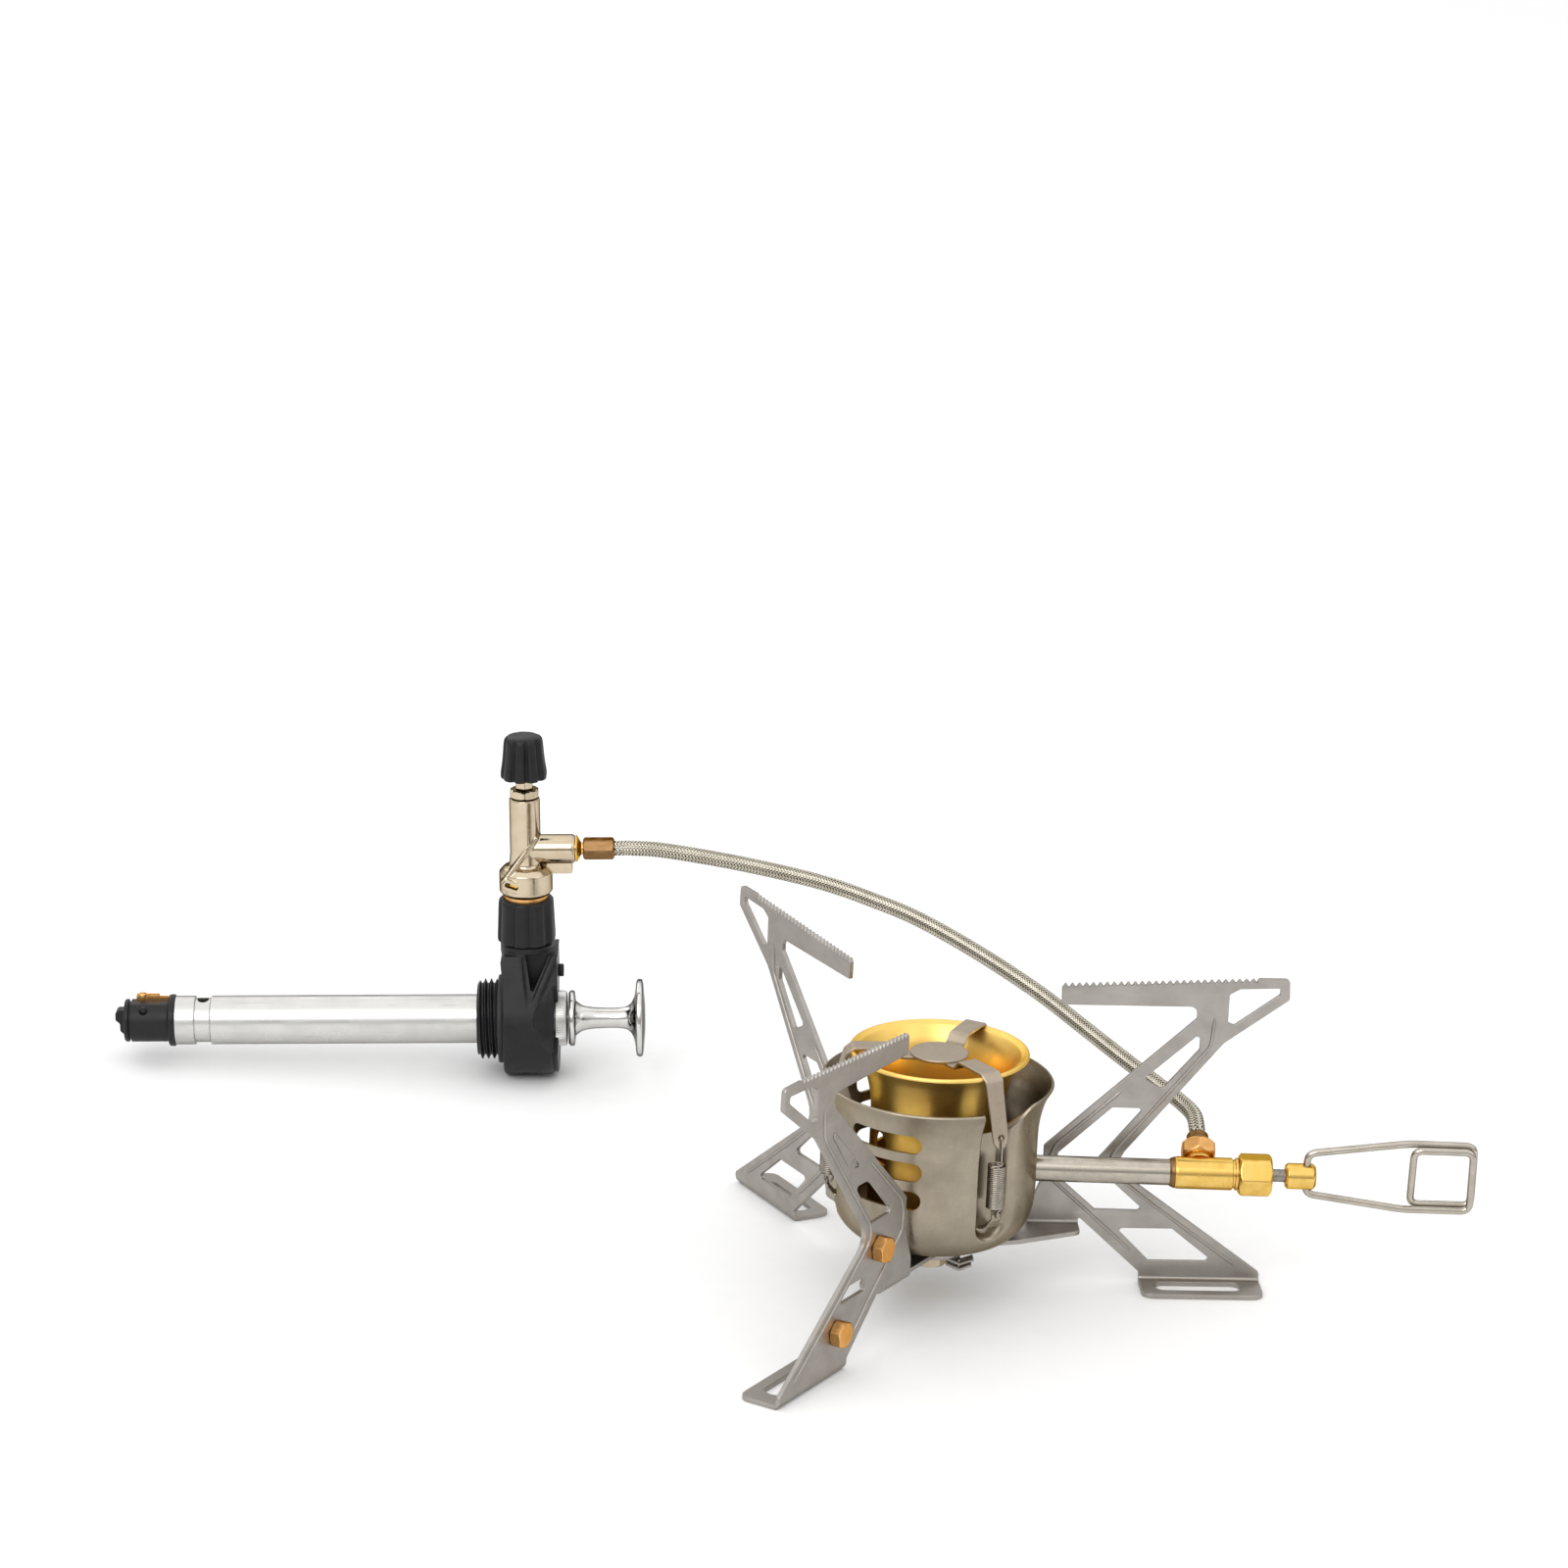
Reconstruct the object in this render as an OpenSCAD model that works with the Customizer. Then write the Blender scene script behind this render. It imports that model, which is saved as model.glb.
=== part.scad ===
// Multi-fuel camping stove: a round burner on three folding sheet legs, fed through a
// tube with a regulator valve, and joined by a braided hose to a bottle pump.
// Millimetres. Z is up, X runs along the feed tube, the ground is z = 0.

/* [Layout] */
// Burner axis, to the right of the middle of the footprint
stove_x = 46.5; // [30:0.5:60]
// Burner axis, in front of the middle of the footprint
stove_y = -46; // [-60:0.5:-30]
// Pump valve axis, from the burner axis along X
pump_dx = -114.8; // [-140:0.2:-100]
// Pump axis, from the burner axis along Y
pump_dy = 160; // [140:1:180]
// Lean of the pump, barrel end down
pump_lean = 2.3; // [0:0.1:4]

/* [Sheet legs] */
// Thickness of the leg sheet
leg_t = 1.3; // [1:0.1:1.6]
// Height of the pot rest above the ground
leg_h = 88; // [86:0.5:92]
// Leg sheet, sideways from the burner axis
leg_off = 8; // [7:0.25:9]
// Inner end of the toothed bar
bar_in = 32.6; // [31:0.2:36]
// Outer end of the toothed bar
bar_out = 94; // [91:0.5:98]
// Number of teeth on a bar
teeth = 27; // [18:1:30]
// Depth of a tooth
tooth_d = 1.1; // [0.6:0.1:1.6]
// Inner end of a foot
foot_in = 58; // [55:0.5:61]
// Outer end of a foot
foot_out = 91; // [89:0.5:95]
// Width of a foot
foot_w = 12.5; // [10:0.5:15]
// Outside radius of the folds in the sheet
bend_r = 2.2; // [1.8:0.1:3]
// Angle of the fixed leg
fixed_leg = 2.5; // [0:0.5:5]
// Angle of the back leg as stored
back_leg = 119; // [112:1:126]
// Angle of the front leg as stored
front_leg = 237.8; // [232:0.2:244]

/* [Burner] */
// Underside of the cup above the ground
cup_base = 17.4; // [16.5:0.1:19]
// Outside radius of the cup
cup_r = 27.4; // [27:0.1:28]
// Radius of the flared rim
cup_rim_r = 31; // [30:0.2:32]
// Height of the rim above the ground
cup_top = 61.4; // [59:0.2:63]
// Thickness of the cup sheet
cup_t = 0.8; // [0.6:0.1:1]
// Radius of the turned edge at the foot of the cup
cup_edge = 11; // [8:0.5:12]
// Height of one air slot
slot_h = 5.2; // [4:0.2:6]
// Half of the angle that an air slot spans
slot_half = 22.5; // [16:0.5:24]
// Height of the lowest air slot
slot_z = 36.4; // [34:0.2:38]
// Pitch of the air slots
slot_pitch = 7.9; // [7:0.1:8.5]
// Width of a spring channel
channel_w = 8.6; // [7.5:0.1:10]
// Radius of the floor of a spring channel
channel_r = 23.4; // [22.5:0.1:24]
// Angle of the first spring channel
channel_a = 63; // [58:0.5:68]
// Outside radius of the brass bell
bell_r = 17.6; // [16:0.1:18.5]
// Radius of the bell's rim
bell_rim_r = 23.4; // [22:0.1:24]
// Top of the bell above the ground
bell_top = 69.6; // [68:0.2:72]
// Thickness of the bell
bell_t = 0.9; // [0.7:0.1:1.2]
// Radius of the flame spreader's disc
disc_r = 7.4; // [6:0.2:9]
// Width of a spreader arm
arm_w = 4.6; // [3.6:0.1:5.4]
// Thickness of the spreader sheet
arm_t = 0.9; // [0.7:0.1:1.1]
// Radius of the pivot stud
stud_r = 3.2; // [2.8:0.1:3.6]

/* [Springs] */
// Outside radius of a spring
spring_r = 2.3; // [2:0.05:2.4]
// Radius of the spring wire
spring_wire = 0.4; // [0.3:0.02:0.42]
// Curls in one spring
spring_curls = 9; // [6:1:9]
// Spring axis, out from the burner axis
spring_at = 28.2; // [27.8:0.1:28.4]
// Lower end of the curls
spring_z0 = 34; // [33.6:0.1:35]
// Upper end of the curls
spring_z1 = 46.4; // [46:0.1:46.8]

/* [Feed line] */
// Height of the feed tube's axis
tube_z = 36.6; // [35:0.2:38]
// Outside radius of the feed tube
tube_r = 3.5; // [3.2:0.05:3.7]
// Near end of the brass inlet block
block_x = 64.6; // [62:0.2:67]
// Length of the brass inlet block
block_len = 16.8; // [16:0.2:18]
// Radius of the brass inlet block
block_r = 4.3; // [4.1:0.1:4.8]
// Width across the flats of the gland nut
gland_af = 10.2; // [9.6:0.1:11]
// Length of the gland nut
gland_len = 8.8; // [8:0.2:10]
// Radius of the regulator spindle
spindle_r = 1.7; // [1.5:0.05:1.8]
// Near end of the spindle knob
knob_x = 94.3; // [93.6:0.1:96]
// Length of the spindle knob
knob_len = 8.2; // [8:0.1:9]
// Radius of the spindle knob
knob_r = 3.5; // [3.3:0.1:3.8]
// Radius of the handle wire
wire_r = 1; // [0.8:0.05:1.05]
// Far end of the handle loop
loop_x = 144.8; // [138:0.2:150]
// Tilt of the hose inlet above level
inlet_rise = 32; // [26:1:36]
// Hose inlet, from the near end of the block
inlet_at = 6.6; // [6:0.2:8]
// Radius of the braided hose
hose_r = 2.3; // [2:0.05:2.5]

/* [Pump] */
// Half height of the pump body
body_r = 16.6; // [15.5:0.1:18]
// Outside radius of the pump barrel
barrel_r = 7.3; // [7:0.05:7.6]
// Wall of the pump barrel
barrel_t = 0.8; // [0.6:0.05:0.9]
// Length of the barrel from the valve axis
barrel_len = 105.1; // [98:0.1:112]
// Radius of the bottle thread
neck_r = 12; // [11.5:0.1:13]
// Radius of the plunger rod
rod_r = 2; // [1.6:0.05:2.4]
// Radius of the plunger's end disc
grip_r = 11.6; // [10:0.2:13]
// Travel of the plunger
stroke = 85; // [70:1:86]

/* [Fuel valve] */
// Underside of the coupling nut above the pump axis
nut_z0 = 24.6; // [24.4:0.1:26]
// Top of the coupling nut above the pump axis
nut_z1 = 39.4; // [38.6:0.1:40.4]
// Radius of the coupling nut
nut_r = 8.7; // [8.4:0.1:9.2]
// Height of the hose branch above the pump axis
branch_z = 53.2; // [52.6:0.1:54]
// Radius of the valve column
column_r = 4.5; // [4.2:0.1:4.8]
// Top of the valve column above the pump axis
column_z = 69.3; // [68:0.1:71]
// Radius of the control knob at its foot
dial_r = 6.9; // [6.4:0.1:7.6]
// Height of the control knob
dial_h = 13.2; // [12:0.1:15]

/* [Hidden] */
$fn = 64;
// Clearance of a turning or sliding fit
run_gap = 0.06;
// Clearance between parts that only pass each other
free_gap = 0.3;
// Stacked leg rings, from the cup down
ring_z = [cup_base - leg_t, cup_base - 2 * leg_t - 0.1, cup_base - 3 * leg_t - 0.2];
washer_z = ring_z[2] - 1.1;
// Corner points are [along, up, fillet radius]
plate_far = leg_off + leg_t;
bar_rise = 2.4;
bar_under = leg_h - 8.2;
tooth_p = (bar_out - 8.8 - bar_in) / teeth;
bar_outline = concat(
  [[bar_in + 0.4, bar_under, 0.3]],
  [for (i = [0 : teeth - 1], k = [0 : 2])
    [bar_in + tooth_p * (i + [0.02, 0.36, 0.64][k]),
     leg_h - bar_rise * (1 - i / teeth) - [tooth_d, 0, 0][k], 0]],
  [[bar_out - 8.8, leg_h - tooth_d, 0],
   [bar_out - 8.5, leg_h, 0.3],
   [bar_out, leg_h, 1.2],
   [bar_out + 0.3, leg_h - 5.8, 1],
   [77.3, 69.6, 4],
   [49, 34, 5],
   [foot_out, 3.4, 1.2]]);
head_window = [[78, 83.4, 1], [80.8, 85, 1], [91.6, 85.4, 0.6], [91.6, 83.6, 0.8],
               [79.7, 74.7, 1], [78, 75.4, 0.8]];
upper_window = [[56.2, 59, 0.8], [69.8, 71.4, 0.5], [70.8, 71, 0.5], [70.8, 67.6, 1], [61.4, 56.2, 1]];
waist_window = [[48.2, 50.7, 0.8], [56.8, 50.6, 0.8], [43.8, 34.3, 2], [58.6, 21, 0.8],
                [45, 21.2, 0.8], [34.4, 30.6, 1.5], [34.2, 37.4, 1]];
foot_window = [[51, 15.9, 0.8], [66.4, 15.9, 0.8], [78.2, 6.5, 0.8], [60.4, 6.5, 0.8]];
small_window = [[51.6, 20, 0.8], [53.6, 24, 0.8], [58.6, 24, 0.8], [62.4, 20, 0.8]];
half_window = [[50, 50.3, 0.8], [55.6, 50.3, 0.8], [46.6, 38, 1], [36.4, 38, 1]];
jet_holes = [[44, 29.4], [64, 12.4]];
jet_hole_r = 2.45;
// Pressed ribs on the leg sheet
outer_rib = [[74.4, 77], [73.8, 68.6], [46.4, 34.2], [61, 21.4], [84, 4.4]];
inner_rib = [[50.5, 55.6], [33.4, 39.8], [31.9, 36], [32.2, 30.4], [42, 21.6], [55.4, 9.4]];
// Burner
channels = [for (i = [0 : 2]) channel_a + 120 * i];
bell_foot = min(cup_r - cup_edge - 0.6, bell_r - 2 * bell_t);
bell_lift = cup_edge + free_gap
  - sqrt(pow(cup_edge - cup_t, 2) - pow(max(0, bell_r - cup_r + cup_edge), 2));
bell_slot = [2.8, 40, 6];
wall_z = cup_base + cup_edge;
channel_z = 24;
channel_top = 54;
arm_path = [[disc_r - 0.6, bell_top - 1.2], [11, bell_top - 1.2], [13, bell_top + arm_t / 2],
            [bell_rim_r + 0.9, bell_top + arm_t / 2], [bell_rim_r + 2.2, bell_top - 0.8],
            [spring_at + 1, 52.4], [spring_at + 1, 48.6], [spring_at - 1.6, 48.6]];
lip_z = 48.6 - arm_t / 2;
tab_z = 31.4;
jet_block_r = 6;
jet_block_z0 = tube_z - 5.6;
jet_block_z1 = tube_z + 4.6;
// Feed line
block_end = block_x + block_len;
gland_x = block_end + 0.3;
gland_end = gland_x + gland_len;
thread_r = 3.6;
wire_x = knob_x + 5.7;
inlet_x = block_x + inlet_at;
inlet_dir = [0, cos(inlet_rise), sin(inlet_rise)];
inlet_nut = [4.8, 11.2];
inlet_ferrule = 14.6;
// Pump
body_x0 = -7.2;
body_x1 = 9.2;
neck_x = -15;
seal_w = 1.6;
tower_w = 15;
tower_z = nut_z0 - 2.2;
tower_r = 8.4;
pump_z = body_r * cos(pump_lean) - body_x0 * sin(pump_lean);
bore_r = barrel_r - barrel_t;
collar_x = 11.6;
piston_gap = 13.1;
piston_x = piston_gap - barrel_len;
grip_x = 34.9;
// Fuel valve
spigot_r = 5.5;
stub_r = 4.2;
pocket_y = stub_r + 1;
seat_z = nut_z0 + 8.4;
branch_r = 4.25;
branch_x = 14.8;
ferrule_x = [17.1, 26.3];
stem_r = 1.8;
// Hose
pump_at = [stove_x + pump_dx, stove_y + pump_dy, pump_z];
function from_pump(p) = pump_at + [p[0] * cos(pump_lean) - p[2] * sin(pump_lean), p[1],
                                   p[0] * sin(pump_lean) + p[2] * cos(pump_lean)];
function from_stove(p) = p + [stove_x, stove_y, 0];
hose_gap = 0.1;
hose_a = from_pump([ferrule_x[1] + hose_gap, 0, branch_z]);
hose_b = from_stove([inlet_x, 0, tube_z] + (inlet_ferrule + hose_gap) * inlet_dir);
hose_out = [cos(pump_lean), 0, sin(pump_lean)];
hose_mid = [[-75, 157.6, 71.6], [-52, 149.6, 70.8], [-29, 137.6, 69.8], [-12, 125.6, 68], [0, 116, 66],
            [16, 99, 62.4], [31.6, 80.5, 58], [43, 65, 54], [54, 48, 50.6], [61.6, 34.6, 48.8], [66.6, 25, 47.4]];
hose_route = concat(
  [for (d = [0, 1.5, 5]) hose_a + d * hose_out],
  [for (p = hose_mid) from_stove(p)],
  [for (d = [6, 1.5, 0]) hose_b + d * inlet_dir]);

function unit(v) = v / norm(v);
function flat(p) = [p[0], p[1]];
function cross_z(u, v) = u[0] * v[1] - u[1] * v[0];
// Arc points that replace one corner of an outline
function corner(a, b, c, r, n = 5) =
  let (u = unit(flat(a) - flat(b)), v = unit(flat(c) - flat(b)))
  let (half = acos(max(-1, min(1, u * v))) / 2)
  r == 0 || half > 88 ? [flat(b)] :
  let (m = flat(b) + unit(u + v) * r / sin(half), p = flat(b) + u * r / tan(half))
  let (w = p - m, turn = sign(cross_z(u, v)) * (180 - 2 * half))
  [for (i = [0 : n])
    let (t = -turn * i / n)
    m + [w[0] * cos(t) - w[1] * sin(t), w[0] * sin(t) + w[1] * cos(t)]];
function rounded(pts) =
  let (n = len(pts))
  [for (i = [0 : n - 1]) each corner(pts[(i + n - 1) % n], pts[i], pts[(i + 1) % n], pts[i][2])];
// Strip of constant width along a path
function side(p, q) = let (d = unit(q - p)) [-d[1], d[0]];
function edge(pts, i) =
  i == 0 ? side(pts[0], pts[1]) :
  i == len(pts) - 1 ? side(pts[i - 1], pts[i]) :
  let (a = side(pts[i - 1], pts[i]), b = side(pts[i], pts[i + 1])) (a + b) / (1 + a * b);
function ribbon(pts, w) = concat(
  [for (i = [0 : len(pts) - 1]) pts[i] + edge(pts, i) * w / 2],
  [for (i = [len(pts) - 1 : -1 : 0]) pts[i] - edge(pts, i) * w / 2]);
// Smooth curve through points
function spline(a, b, c, d, t) =
  0.5 * (2 * b + (c - a) * t + (2 * a - 5 * b + 4 * c - d) * t * t + (3 * b - a - 3 * c + d) * t * t * t);
function smooth(pts, n) =
  let (m = len(pts) - 1)
  concat([for (i = [0 : m - 1], k = [0 : n - 1])
    spline(pts[max(i - 1, 0)], pts[i], pts[i + 1], pts[min(i + 2, m)], k / n)], [pts[m]]);
// Round tube along a path; its ends stay square to the first and last steps
function step(path, i) =
  unit(path[min(i + 1, len(path) - 1)] - path[max(i - 1, 0)]);
function ring(path, i, r, sides) =
  let (t = step(path, i), x = unit(cross(t, abs(t[2]) < 0.95 ? [0, 0, 1] : [1, 0, 0])), y = cross(t, x))
  [for (k = [0 : sides - 1]) path[i] + r * (x * cos(360 * k / sides) + y * sin(360 * k / sides))];

module sweep(path, r, sides) {
  n = len(path);
  polyhedron(
    [for (i = [0 : n - 1]) each ring(path, i, r, sides)],
    concat(
      [[for (k = [sides - 1 : -1 : 0]) k]],
      [for (i = [0 : n - 2], k = [0 : sides - 1])
        [i * sides + k, i * sides + (k + 1) % sides, (i + 1) * sides + (k + 1) % sides, (i + 1) * sides + k]],
      [[for (k = [0 : sides - 1]) (n - 1) * sides + k]]));
}

module stove() {
  translate([stove_x, stove_y, 0])
    children();
}

module pump() {
  translate(pump_at)
    rotate([0, -pump_lean, 0])
      children();
}

// Round bar along X
module x_bar(x0, x1, r, r2 = -1) {
  translate([x0, 0, 0])
    rotate([0, 90, 0])
      cylinder(h = x1 - x0, r1 = r, r2 = r2 < 0 ? r : r2);
}

// Round bar along Z
module z_bar(z0, z1, r, r2 = -1) {
  translate([0, 0, z0])
    cylinder(h = z1 - z0, r1 = r, r2 = r2 < 0 ? r : r2);
}

// Round bar straight out from the burner axis
module out_bar(a, z, r, r0 = 20, r1 = 34) {
  rotate([0, 0, a])
    translate([r0, 0, z])
      rotate([0, 90, 0])
        cylinder(h = r1 - r0, r = r);
}

// Turned body about X from [x, radius] points
module x_turned(pts) {
  rotate([0, 90, 0])
    rotate_extrude()
      polygon([for (p = pts) [p[1], p[0]]]);
}

module hexagon(af) {
  circle(r = af / sqrt(3), $fn = 6);
}

// Hex bar with chamfered ends along Z
module hex_bar(z0, z1, af) {
  intersection() {
    translate([0, 0, z0])
      linear_extrude(z1 - z0)
        hexagon(af);
    union() {
      z_bar(z0, z0 + 0.5, af * 0.52, af * 0.58);
      z_bar(z0 + 0.5, z1 - 0.5, af * 0.58);
      z_bar(z1 - 0.5, z1, af * 0.58, af * 0.52);
    }
  }
}

// Axis of the hose inlet on the block
module at_inlet() {
  translate([inlet_x, 0, tube_z])
    rotate([inlet_rise - 90, 0, 0])
      children();
}

// Sheet that turns from upright to level; its outer upright face is y = 0
module folded(w, up) {
  translate([-leg_t, bend_r])
    square([leg_t, up - bend_r]);
  translate([-w, 0])
    square([w - bend_r, leg_t]);
  intersection() {
    translate([-bend_r, bend_r])
      difference() {
        circle(r = bend_r);
        circle(r = bend_r - leg_t);
      }
    translate([-bend_r, 0])
      square([bend_r, bend_r]);
  }
}

// Fold along the leg from r0 to r1 with its underside at z
module fold_along(r0, r1, z, w, up) {
  translate([r0, plate_far, z])
    rotate([90, 0, 90])
      linear_extrude(r1 - r0)
        folded(w, up);
}

module sheet_rib(path) {
  translate([0, leg_off, 0])
    rotate([90, 0, 0])
      linear_extrude(0.35)
        polygon(ribbon(path, 0.9));
}

module upright(outline, holes) {
  translate([0, plate_far, 0])
    rotate([90, 0, 0])
      linear_extrude(leg_t)
        difference() {
          polygon(rounded(outline));
          for (h = holes)
            polygon(rounded(h));
        }
}

// One folding leg; low is the underside of its pivot ring
module leg(angle, low, holes) {
  stove()
    rotate([0, 0, angle])
      difference() {
        union() {
          upright(concat(bar_outline, [
            [foot_out, bend_r, 0], [foot_in, bend_r, 0], [foot_in, 3.2, 1.5], [41.4, 18.4, 0.8],
            [40.6, low + bend_r + 0.6, 0.4], [40.6, low + bend_r, 0], [26.4, low + bend_r, 0], [26.6, 21, 1],
            [30.3, 30.5, 3], [30.3, 39.4, 1.2], [69.6, 76.4, 0.6], [69.6, bar_under, 2]]), holes);
          fold_along(foot_in, foot_out, 0, foot_w, 3);
          fold_along(26.4, 40.6, low, plate_far - 2, bend_r + 0.4);
          sheet_rib(outer_rib);
          sheet_rib(inner_rib);
          translate([0, 0, low])
            linear_extrude(leg_t) {
              circle(r = 10.5);
              polygon([[0, plate_far - bend_r], [26.4, plate_far - bend_r], [40.6, 2.6], [39.4, 1.4],
                       [24, -5], [3, -10]]);
              polygon([[26.4, plate_far - bend_r], [40.6, plate_far - bend_r], [40.6, 2.6]]);
            }
        }
        z_bar(low - 1, low + leg_t + 1, stud_r + run_gap);
        foot_cuts();
      }
}

// Rounded corners and the slot of a foot
module foot_cuts() {
  y0 = plate_far - foot_w;
  translate([0, 0, -1])
    linear_extrude(leg_t + 2) {
      polygon(rounded([[foot_in + 5, y0 + 3.4, 1.2], [foot_out - 8, y0 + 3.4, 1.2],
                       [foot_out - 8, y0 + 6.2, 1.2], [foot_in + 5, y0 + 6.2, 1.2]]));
      for (s = [0, 1])
        translate([s * (foot_in + foot_out), 0])
          mirror([s, 0])
            translate([foot_in, y0])
              difference() {
                translate([-1, -1])
                  square(4);
                translate([3, 3])
                  circle(r = 3);
              }
    }
}

module leg_fixed() {
  color([0.62, 0.6, 0.57])
    leg(fixed_leg, ring_z[0], [head_window, upper_window, waist_window, foot_window]);
}

module leg_back() {
  color([0.62, 0.6, 0.57])
    leg(back_leg, ring_z[2], [head_window, upper_window, waist_window, foot_window]);
}

module leg_front() {
  color([0.62, 0.6, 0.57])
    difference() {
      leg(front_leg, ring_z[1], [head_window, half_window, small_window]);
      stove()
        rotate([0, 0, front_leg])
          for (p = jet_holes)
            translate([p[0], plate_far + 1, p[1]])
              rotate([90, 0, 0])
                cylinder(h = leg_t + 3, r = jet_hole_r);
    }
}

module spare_jets() {
  color([0.82, 0.55, 0.2])
    stove()
      rotate([0, 0, front_leg])
        for (p = jet_holes)
          translate([p[0], 0, p[1]])
            rotate([-90, 0, 0])
              difference() {
                union() {
                  hex_bar(plate_far, plate_far + 2.8, 6.6);
                  z_bar(leg_off - 2.4, plate_far, jet_hole_r);
                  z_bar(plate_far + 2.8, plate_far + 3.6, 2);
                }
                z_bar(leg_off - 3, plate_far + 4, 0.6);
              }
}

// Wall of the cup from the inside edge at the stud to the rim
function cup_line(t) = concat(
  [[stud_r, cup_base + t]],
  [for (a = [-90 : 15 : 0])
    [cup_r - cup_edge + (cup_edge - t) * cos(a), cup_base + cup_edge + (cup_edge - t) * sin(a)]],
  [for (a = [0 : 7 : 42])
    [cup_r - t + flare_r * (1 - cos(a)), cup_top - (cup_top - 52) * (1 - sin(a) / sin(42))]]);
flare_r = (cup_rim_r - cup_r) / (1 - cos(42));

module cup_shell() {
  inner = cup_line(cup_t);
  rotate_extrude()
    polygon(concat(cup_line(0), [for (i = [len(inner) - 1 : -1 : 0]) inner[i]]));
}

module channel_box(w, r0, z0, z1) {
  translate([r0, -w / 2, z0])
    cube([36 - r0, w, z1 - z0]);
}

// Bowl of the cup with the three pressed spring channels
module burner_cup() {
  color([0.6, 0.57, 0.52])
    stove() {
      difference() {
        cup_shell();
        z_bar(wall_z, cup_top + 1, cup_rim_r + 5);
        for (a = channels)
          rotate([0, 0, a])
            channel_box(channel_w, channel_r - 3, channel_z, cup_top + 1);
      }
      for (a = channels)
        rotate([0, 0, a]) {
          intersection() {
            z_bar(channel_z - 2, channel_top, cup_r - 0.2);
            spring_channel(channel_z);
          }
          translate([channel_r - 0.4, -2.2, tab_z - 1])
            cube([spring_at + 1.2 - channel_r, 4.4, 1]);
        }
    }
}

// Wall of the cup between two spring channels, as a sector of the shell about angle a
module cup_wall(a) {
  reach = 2 * cup_rim_r;
  color([0.6, 0.57, 0.52])
    stove()
      intersection() {
        difference() {
          cup_shell();
          z_bar(cup_base - 1, wall_z, cup_rim_r + 5);
          for (c = channels)
            rotate([0, 0, c])
              channel_box(channel_w + 2 * cup_t, channel_r - 3, channel_z - 2, cup_top + 1);
          children();
        }
        rotate([0, 0, a])
          translate([0, 0, cup_base])
            linear_extrude(cup_top)
              polygon([[0, 0], reach * [cos(60), -sin(60)], [reach, 0], reach * [cos(60), sin(60)]]);
      }
}

module cup_wall_right() {
  cup_wall(channel_a - 60)
    out_bar(0, tube_z, tube_r + free_gap);
}

module cup_wall_back() {
  cup_wall(channel_a + 60)
    air_slots(118);
}

module cup_wall_front() {
  cup_wall(channel_a + 180)
    air_slots(238);
}

module spring_channel(z0) {
  difference() {
    channel_box(channel_w + 2 * cup_t, channel_r - cup_t, z0 - cup_t, channel_top);
    channel_box(channel_w, channel_r, z0, 60);
  }
}

module air_slots(a) {
  for (i = [0 : 2])
    air_slot(a, slot_z + i * slot_pitch);
}

// Slot punched straight through one side of the cup
module air_slot(a, z) {
  w = cup_r * sin(slot_half);
  h = slot_h / 2;
  rotate([0, 0, a])
    translate([18, 0, z])
      rotate([90, 0, 90])
        linear_extrude(16)
          polygon(rounded([[-w, -h, h - 0.1], [w, -h, h - 0.1], [w, h, h - 0.1], [-w, h, h - 0.1]]));
}

module burner_bell() {
  z0 = cup_base + cup_t;
  neck = 57;
  flare = [for (a = [0 : 9 : 54])
    [bell_r + (bell_rim_r - bell_r) * (1 - cos(a)) / (1 - cos(54)), neck + (bell_top - 0.5 - neck) * sin(a) / sin(54)]];
  color([0.8, 0.62, 0.25])
    stove()
      difference() {
        union() {
          rotate_extrude()
            polygon(concat([[stud_r, z0], [bell_foot, z0], [bell_r, cup_base + bell_lift]], flare,
              [for (i = [len(flare) - 1 : -1 : 0]) flare[i] - [bell_t, 0]],
              [[bell_r - bell_t, cup_base + bell_lift + bell_t / 2], [bell_foot - bell_t / 2, z0 + bell_t],
               [stud_r, z0 + bell_t]]));
          rotate_extrude()
            translate([bell_rim_r, bell_top - 0.7])
              circle(r = 0.7, $fn = 24);
        }
        for (a = [30 : 60 : 330])
          rotate([0, 0, a])
            bell_window();
        out_bar(0, tube_z, tube_r + free_gap, 12, 24);
      }
}

module bell_window() {
  w = bell_slot[0];
  h = bell_slot[2];
  translate([bell_r - bell_t - 4, 0, bell_slot[1]]) {
    translate([0, -w, 0])
      cube([bell_t + 8, 2 * w, h]);
    translate([0, 0, h])
      rotate([0, 90, 0])
        cylinder(h = bell_t + 8, r = w);
  }
}

module flame_spreader() {
  color([0.5, 0.5, 0.5])
    stove() {
      z_bar(bell_top - 1.2 - arm_t / 2, bell_top - 1.2 + arm_t / 2, disc_r);
      for (a = channels)
        rotate([0, 0, a])
          difference() {
            translate([0, arm_w / 2, 0])
              rotate([90, 0, 0])
                linear_extrude(arm_w)
                  polygon(ribbon(arm_path, arm_t));
            translate([20, 0, 53.4])
              rotate([0, 90, 0])
                cylinder(h = 12, r = 1);
          }
    }
}

// Spring centreline: a straight end, a curl that opens, the curls, and back to the axis
function coil(u) =
  let (lead = 0.75, wide = min(1, min(u, spring_curls - u) / lead))
  (spring_r - spring_wire) * sin(90 * wide) * [cos(360 * u), sin(360 * u), 0]
  + [0, 0, spring_z0 + (spring_z1 - spring_z0) * u / spring_curls];
spring_path = concat(
  [[0, 0, tab_z], [0, 0, tab_z + 2 * spring_wire]],
  [for (i = [0 : 8 * spring_curls]) coil(i / 8)],
  [[0, 0, lip_z - 2 * spring_wire], [0, 0, lip_z]]);
spring_gap = min([for (i = [10 : len(spring_path) - 16], j = [i + 6 : i + 10])
  norm(spring_path[i] - spring_path[j])]) - 2 * spring_wire;
echo(spring_gap = spring_gap);

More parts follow.
